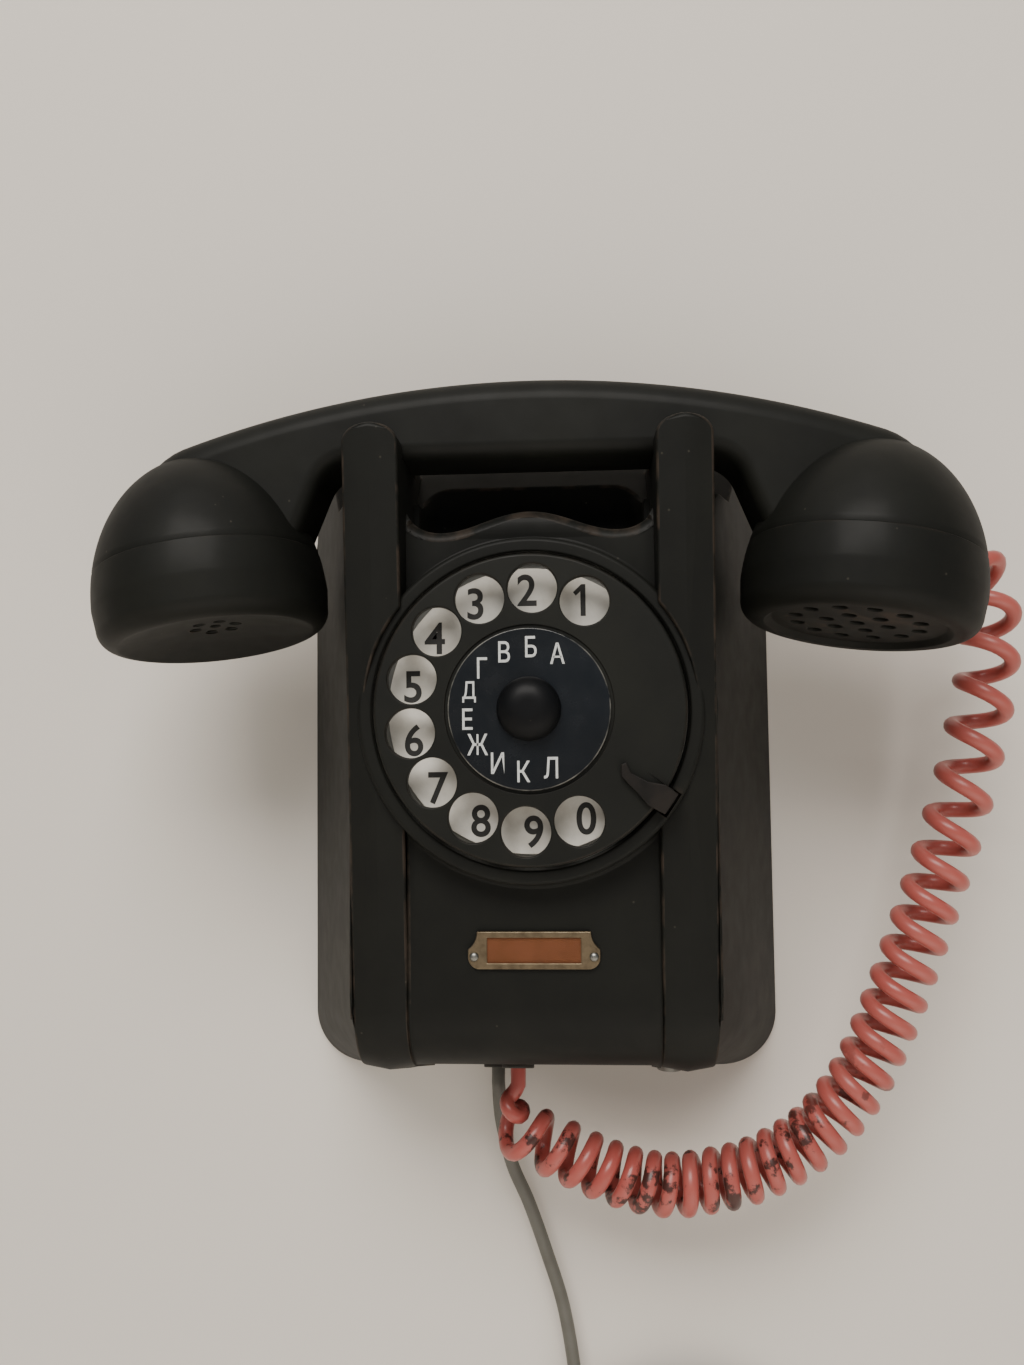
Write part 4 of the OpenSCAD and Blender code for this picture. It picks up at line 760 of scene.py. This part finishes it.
# Handset: a straight-bottomed arch between two domed cups, one moulding
handset = {
    "cupAt": 88, "depth": 57, "seam": 50, "tilt": 9, "lean": 5,
    "radius": 31, "dome": 31, "bulge": 10,
    "under": 76.5, "top": 98, "arch": 280, "archEnd": 15.5, "thick": 22,
    "halfGrip": 52, "neckDrop": 21, "neckOut": 9.5, "neckRound": 10,
    "closeAt": [(10, 8), (-12, 4)],  # outline's ends inside a dome, from the cup's middle and the seam
    "dipFrom": 5, "dip": 0.038,  # per mm, squared
    "topEdges": (7, 8), "lowEdges": (4, 6),  # radius and segments
    "spigot": 3, "seamStep": 0.25, "seamRise": 0.8,
}


def cupFrame(side):
    h = handset
    return (Matrix.Translation((side * h["cupAt"], -h["depth"], h["seam"]))
            @ Matrix.Rotation(radians(side * h["tilt"]), 4, "Y")
            @ Matrix.Rotation(radians(-h["lean"]), 4, "X"))


def domeRadius(z):
    h = handset
    return h["radius"] * sqrt(max(0, 1 - ((z + h["bulge"]) / (h["dome"] + h["bulge"])) ** 2))


def archHeight(x):
    h = handset
    past = max(0, abs(x) - h["cupAt"] - h["dipFrom"])
    return h["top"] - h["arch"] + sqrt(h["arch"] ** 2 - x * x) - h["dip"] * past ** 2


def makeHandle():
    h = handset
    cupAt, neck, half = h["cupAt"], h["halfGrip"], h["thick"] / 2
    arch = [(x, archHeight(x)) for x in ((cupAt + h["archEnd"]) * i / 40 for i in range(41))]
    outer, inner = ((cupAt + x, h["seam"] + z) for x, z in h["closeAt"])
    # no corner is tighter than the bevel along it
    low = roundChain([(*inner, 0), (neck + h["neckOut"], h["under"] - h["neckDrop"], h["lowEdges"][0] + 2),
                      (neck + 1, h["under"], h["neckRound"]), (neck - 20, h["under"], 0)], 10)
    right = [*arch, outer, *[tuple(p) for p in low]]
    outline = right + [(-x, z) for x, z in reversed(right[1:])]
    bm = extruded(outline, h["depth"] - half, h["depth"] + half)
    bmesh.ops.recalc_face_normals(bm, faces=bm.faces)
    rims = [e for e in bm.edges if e.verts[0].co.z == e.verts[1].co.z]
    upper = [e for e in rims if all(abs(v.co.y - archHeight(v.co.x)) < 0.01 for v in e.verts)]
    lower = [e for e in rims if e not in upper and all(abs(v.co.x) < cupAt for v in e.verts)]
    for edges, size in ((upper, h["topEdges"]), (lower, h["lowEdges"])):
        roundEdges(bm, [e for e in edges if e.is_valid], *size)
    handle = toMesh(bm, forward)
    heights = [h["dome"] * sin(radians(3 * i)) for i in range(30)]
    collarIn = domeRadius(0) - h["seamStep"]
    spigot, rise = h["spigot"], h["seamRise"]
    chain = [(0, -spigot), (collarIn, -spigot), (collarIn, 0), (domeRadius(rise), rise),
             *[(domeRadius(z), z) for z in heights if z > 1]]
    handle = carve(handle, *[("UNION", spinChain(chain, cupFrame(side), 128)) for side in (-1, 1)])
    return setMoulding("handsetMoulding", handle, "handset_handle")


print("handset moulding:", len(makeHandle().data.polygons), "faces")

caps = {  # rings are (radius, holes) pairs
    "earCap": {"node": "ear_cap", "side": -1, "dish": 4, "bowlRadius": 25.6, "hole": 2.6,
               "rings": [(0, 1), (5.5, 6)]},
    "mouthCap": {"node": "mouth_cap", "side": 1, "dish": 1.6, "dishRadius": 22, "hole": 3.6,
                 "rings": [(0, 1), (8, 6), (16, 12)]},
}
capShape = {
    "high": 20, "edge": 5, "edgeIn": 0.6, "face": 2.5,
    "inner": 27.1, "spigot": 8.1, "capsule": 24.6,
    "seamFrom": 0.6, "seamIn": 0.4, "seamGap": 0.2,
    "holeRound": 0.45, "wear": (30, 80),
}


def makeCap(name, cap):
    s, radius, bulge = capShape, handset["radius"], handset["bulge"]
    low, edge, gap, inner, capsule = -s["high"], s["edge"], s["seamGap"], s["inner"], s["capsule"]
    face = low + cap["dish"]
    if "bowlRadius" in cap:  # hollowed for the ear
        bowl = cap["bowlRadius"]
        chain = [(bowl * i / 20, low + cap["dish"] * (1 - (i / 20) ** 2)) for i in range(20)]
    else:
        chain = roundChain([(0, face, 0), (cap["dishRadius"], face, 0.8),
                            (cap["dishRadius"] + cap["dish"], low, 0.8), (radius - edge - 1, low, 0)], 5)
    for i in range(16):
        a = radians(6 * i)
        chain.append((radius - s["edgeIn"] - edge + edge * sin(a), low + edge - edge * cos(a)))
    heights = [-bulge * (1 - i / 8) for i in range(1, 8)] + [-s["seamFrom"]]
    chain += [(radius, -bulge), *[(domeRadius(z), z) for z in heights],
              (domeRadius(-gap) - s["seamIn"], -gap), (inner, -gap), (inner, -s["spigot"]),
              (capsule, -s["spigot"]), (capsule, face + s["face"]), (0, face + s["face"])]
    shell = spinChain(chain, cupFrame(cap["side"]), 120)
    r, e = cap["hole"] / 2, s["holeRound"]
    flare = [(0, face - 1), (r + e, face - 1)]
    for a in range(0, 91, 15):
        flare.append((r + e * (1 - sin(radians(a))), face + e * (1 - cos(radians(a)))))
    flare += [(r, face + s["face"] + 1), (0, face + s["face"] + 1)]
    holes = []
    for ring, count in cap["rings"]:
        for i in range(count):
            spot = Matrix.Rotation(2 * pi * i / count, 4, "Z") @ Matrix.Translation((ring, 0, 0))
            holes.append(("DIFFERENCE", spinChain(flare, cupFrame(cap["side"]) @ spot, 20)))
    shell = carve(shell, *holes)
    markWear(shell, *s["wear"])
    setMoulding(name, shell, cap["node"])


for name, cap in caps.items():
    makeCap(name, cap)
print("caps made")


# Dial: wheel with ten soft-rimmed finger holes, number plate, letter disc and domed cap
dial = {
    "wheelRadius": 39.2, "wheelBack": 73.2, "wheelFront": 75.7, "wheelRound": 0.8, "wheelWear": (8, 40),
    "hub": 10, "hubBack": 68.5,
    "holes": 10, "first": 62.2, "step": 25.7, "holeRing": 30.4, "holeRadius": 6.25, "holeRound": 0.4,
    "plateRadius": 36.6, "plateHole": 16.3, "plateBack": 67, "plateFront": 68,
    "seatRadius": 21.2, "seatFront": 75.2,
    "discRadius": 20.3, "discFront": 76.5, "discRound": 0.35, "discWear": (10, 20),
    "capRadius": 8, "capHigh": 5.5, "capSkirt": 1, "capFlat": 0.25,
}


def makeDial():
    d = dial
    hub, rim, back, front = d["hub"], d["wheelRadius"], d["wheelBack"], d["wheelFront"]
    seat, seatFront, discFront = d["seatRadius"], d["seatFront"], d["discFront"]
    chain = roundChain([(0, d["hubBack"], 0), (hub, d["hubBack"], 0.3), (hub, back, 0), (rim, back, 0.5),
                        (rim, front, d["wheelRound"]), (seat, front, 0.15), (seat, seatFront, 0.1),
                        (0, seatFront, 0)], 6)
    r, e = d["holeRadius"], d["holeRound"]
    flare = [(0, back - 1), (r, back - 1)]
    for a in range(0, 91, 15):
        flare.append((r + e * (1 - cos(radians(a))), front - e + e * sin(radians(a))))
    flare += [(r + e, front + 1), (0, front + 1)]
    cuts = []
    for i in range(d["holes"]):
        turn = Matrix.Rotation(radians(d["first"] + d["step"] * i), 4, "Z")
        spot = turn @ Matrix.Translation((d["holeRing"], 0, 0))
        cuts.append(("DIFFERENCE", spinChain(flare, dialFrame @ spot, 56)))
    wheel = carve(spinChain(chain, dialFrame, 144), *cuts)
    markWear(wheel, *d["wheelWear"])
    setMoulding("fingerWheel", wheel, "finger_wheel", 32)
    hole, out, low, high = d["plateHole"], d["plateRadius"], d["plateBack"], d["plateFront"]
    chain = roundChain([(hole, low, 0), (out, low, 0.1), (out, high, 0.2), (hole, high, 0.2),
                        (hole, low, 0)], 3)
    setMoulding("numberPlate", spinChain(chain[:-1], dialFrame, closed=True), "number_plate")
    chain = roundChain([(0, seatFront, 0), (d["discRadius"], seatFront, 0.05),
                        (d["discRadius"], discFront, d["discRound"]), (0, discFront, 0)], 5)
    disc = spinChain(chain, dialFrame, 120)
    markWear(disc, *d["discWear"])
    setMoulding("letterDisc", disc, "letter_disc", 40, discEnamel)
    cap, flat, skirt, rise = d["capRadius"], d["capFlat"], d["capSkirt"], d["capHigh"] - d["capSkirt"]
    dome = [(0, discFront), (cap, discFront)]
    for i in range(31):
        a = radians(3 * i)
        dome.append((cap * (flat + (1 - flat) * cos(a)), discFront + skirt + rise * sin(a)))
    dome.append((0, discFront + d["capHigh"]))
    setMoulding("centreCap", spinChain(dome, dialFrame, 64), "centre_cap", 40, capEnamel)


makeDial()
print("dial made")


# Copies of moulded and turned nodes with their edges broken
def softenNode(node, name, edgeMm, segments=2, sharpDeg=25, flatDeg=0.6):
    bm = bmesh.new()
    bm.from_mesh(nodes[node].data)
    bmesh.ops.remove_doubles(bm, verts=bm.verts, dist=0.01 * mm)
    bmesh.ops.dissolve_limit(bm, angle_limit=radians(flatDeg), verts=bm.verts, edges=bm.edges)
    worn = bm.faces.layers.float.new("edgeWear")
    sharp = [e for e in bm.edges if len(e.link_faces) == 2 and e.calc_face_angle() > radians(sharpDeg)]
    for face in roundEdges(bm, sharp, edgeMm * mm, segments):
        face[worn] = 1.0
    mesh = meshFrom(bm, name)
    normals = mesh.attributes.get("custom_normal")
    if normals:
        mesh.attributes.remove(normals)
    mesh.shade_smooth()
    piece = setPiece(name, mesh, slotOf[node], bodyOf[node], [node])
    piece.modifiers.new("weigh", "WEIGHTED_NORMAL").keep_sharp = True
    return piece


softened = {  # node: piece, edge radius in mm, segments
    "handset_gland": ("cordGland", 0.4),
    "finger_stop": ("fingerStop", 0.25),
    "label_frame": ("labelFrame", 0.22),
    "label_rivets": ("labelRivets", 0.1, 1),
    "plunger_left": ("plungerLeft", 0.3),
    "plunger_right": ("plungerRight", 0.3),
    "cord_grommet": ("cordGrommet", 0.3),
    "line_grommet": ("lineGrommet", 0.3),
    "plug_pins": ("plugPins", 0.2),
    "coil_tie": ("coilTie", 0.2),
}
pieces = {node: softenNode(node, *how) for node, how in softened.items()}
print("softened copies:", len(pieces))

# Line plug: a rounded block under a tapered neck
plug = {
    "halfWide": 9, "halfThick": 6.5, "corner": 3, "long": 30,
    "neck": 6, "neckWide": 6.3, "neckTop": 3.5, "neckRoot": 2,
    "sharpDeg": 60, "edges": (1.2, 4),
}


def makePlug():
    p = plug
    place = Matrix.Translation(greyPath[-1])
    outline = roundRect(p["halfWide"], -p["halfThick"], p["halfThick"], p["corner"], p["corner"])
    bm = bmesh.new()
    bm.from_mesh(prism(outline, -p["long"], -p["neck"], place))
    bmesh.ops.remove_doubles(bm, verts=bm.verts, dist=0.001)
    breakEdges(bm, [e for e in bm.edges if e.calc_face_angle(0) > radians(p["sharpDeg"])], *p["edges"])
    root, wide = -p["neck"] - p["neckRoot"], p["neckWide"]
    neck = [(0, root), (wide, root), (wide, -p["neck"]), (p["neckTop"], 0), (0, 0)]
    shell = carve(toMesh(bm, Matrix()), ("UNION", spinChain(neck, place, 48)))
    return setMoulding("linePlug", shell, "line_plug")


pieces["line_plug"] = makePlug()


# Figures and letters on the dial, upright at each finger hole
dialMarks = {
    "figures": "1234567890", "figureTurn": 3.1, "figureStep": 25.7, "figureRing": 30.9,
    "figureHeight": 8.2, "figureWide": 0.95, "figureBold": 0.016,
    # the figure one has its flag, as shares of its height
    "one": [(0.09, -0.5), (0.09, 0.5), (-0.05, 0.5), (-0.32, 0.25), (-0.23, 0.14), (-0.08, 0.275),
            (-0.08, -0.5)],
    "letters": "АБВГДЕЖИКЛ", "letterTurn": 0.0, "letterStep": 25.3, "letterRing": 15.5,
    "letterHeight": 5.3, "letterWide": 0.78, "letterBold": 0.006,
    "raised": 0.05,
}


def glyphMesh(sign, bold):
    if sign == "1":
        return prism(dialMarks["one"], 0, 0.02, Matrix())
    curve = bpy.data.curves.new("glyph", "FONT")
    curve.body = sign
    curve.extrude = 0.01
    curve.offset = bold
    mesh = takeMesh(newObject("glyph", curve))
    bpy.data.curves.remove(curve)
    return mesh


def placeGlyph(mesh, height, wide, at, depth):
    low = Vector([min(v.co[k] for v in mesh.vertices) for k in range(3)])
    high = Vector([max(v.co[k] for v in mesh.vertices) for k in range(3)])
    size = height * mm / (high.y - low.y)
    thick = dialMarks["raised"] * mm / (high.z - low.z)
    mesh.transform(Matrix.Translation(-(low + high) / 2))
    mesh.transform(Matrix.Diagonal((size * wide, size, thick, 1)))
    mesh.transform(Matrix.Rotation(pi / 2, 4, "X"))
    mesh.transform(Matrix.Translation((at[0] * mm, -depth * mm, at[1] * mm)))


def makeMarks(name, kind, front, slot, body, material):
    m = dialMarks
    ring = m[kind + "Ring"]
    bm = bmesh.new()
    for i, sign in enumerate(m[kind + "s"]):
        angle = radians(dial["first"] + m[kind + "Turn"] + m[kind + "Step"] * i)
        at = (ring * cos(angle), dialHeight + ring * sin(angle))
        glyph = glyphMesh(sign, m[kind + "Bold"])
        placeGlyph(glyph, m[kind + "Height"], m[kind + "Wide"], at, front + m["raised"] / 2)
        bm.from_mesh(glyph)
        bpy.data.meshes.remove(glyph)
    setPiece(name, meshFrom(bm, name), slot, body, (), material)


makeMarks("dialFigures", "figure", dial["plateFront"], "white_enamel", "phone", inkBlack)
makeMarks("discLetters", "letter", dial["discFront"], "dial_black", "dial", paintWhite)
print("dial marks made")


# The nodes that keep their own mesh get their finish
for name, node in nodes.items():
    if not node.hide_render:
        node.data.materials.clear()
        node.data.materials.append(finishes[slotOf[name]])


# Stage: a pale painted wall with a cove and a floor, seen from the front only, and soft light
stage = {
    "wallBehind": 0.0012, "wallTop": 3, "floorDown": -0.36, "floorOut": -4, "halfWidth": 4,
    "cove": 0.12, "coveSteps": 12,
    "color": "#dcd6cd", "rough": 0.9,
    "sky": "#d6dadd", "skyStrength": 0.3,
}


def makeStage():
    s = stage
    side, back, cove, down = -s["halfWidth"], s["wallBehind"], s["cove"], s["floorDown"]
    points = [(side, back, s["wallTop"])]
    for i in range(s["coveSteps"] + 1):
        a = pi / 2 * i / s["coveSteps"]
        points.append((side, back - cove * (1 - cos(a)), down + cove * (1 - sin(a))))
    points.append((side, s["floorOut"], down))
    bm = bmesh.new()
    line = [bm.verts.new(p) for p in points]
    edges = [bm.edges.new(pair) for pair in zip(line, line[1:])]
    made = bmesh.ops.extrude_edge_only(bm, edges=edges)["geom"]
    bmesh.ops.translate(bm, vec=(2 * s["halfWidth"], 0, 0), verts=vertsOf(made))
    mesh = meshFrom(bm, "backdrop")
    mesh.shade_smooth()
    if max(mesh.polygons, key=lambda p: p.center.z).normal.y > 0:  # the wall faces the camera
        mesh.flip_normals()
    color = hexColor(s["color"])
    material, shader, add, _ = newFinish("paleBackdrop", Base_Color=color, Roughness=s["rough"])
    face = add("NewGeometry")
    clear = add("BsdfTransparent")
    mixed = add("MixShader", None, {0: face.outputs["Backfacing"], 1: shader, 2: clear})
    join(material.node_tree.nodes["Material Output"], {"Surface": mixed})
    mesh.materials.append(material)
    backdrop = newObject("backdrop", mesh)
    backdrop.visible_shadow = False


makeStage()

lights = [  # name, place, size, watts, colour
    ("ceilingSoft", (-0.15, -1.1, 1.0), (1.0, 0.7), 25, "#fdf8f2"),
    ("floorBounce", (0.3, -0.95, -0.75), (1.5, 0.9), 9, "#fbf5ee"),
    ("behindWall", (0.2, 1.0, 0.3), (1.2, 0.9), 10, "#f6f6f4"),
]
for name, at, size, watts, color in lights:
    data = bpy.data.lights.new(name, "AREA")
    data.shape = "RECTANGLE"
    data.size, data.size_y = size
    data.energy = watts
    data.color = hexColor(color)[:3]
    lamp = newObject(name, data)
    lamp.location = at
    lamp.rotation_euler = (-Vector(at)).to_track_quat("-Z", "Y").to_euler()
    lamp.visible_camera = False
    if name == "behindWall":  # the wall lets it through, and it lights the back plate alone
        lit = bpy.data.collections.new("backOnly")
        lit.objects.link(nodes["back_plate"])
        lamp.light_linking.receiver_collection = lit
world = bpy.context.scene.world or bpy.data.worlds.new("studio")
bpy.context.scene.world = world
world.use_nodes = True
sky = world.node_tree.nodes["Background"].inputs
sky["Color"].default_value = hexColor(stage["sky"])
sky["Strength"].default_value = stage["skyStrength"]
print("stage and lights set")
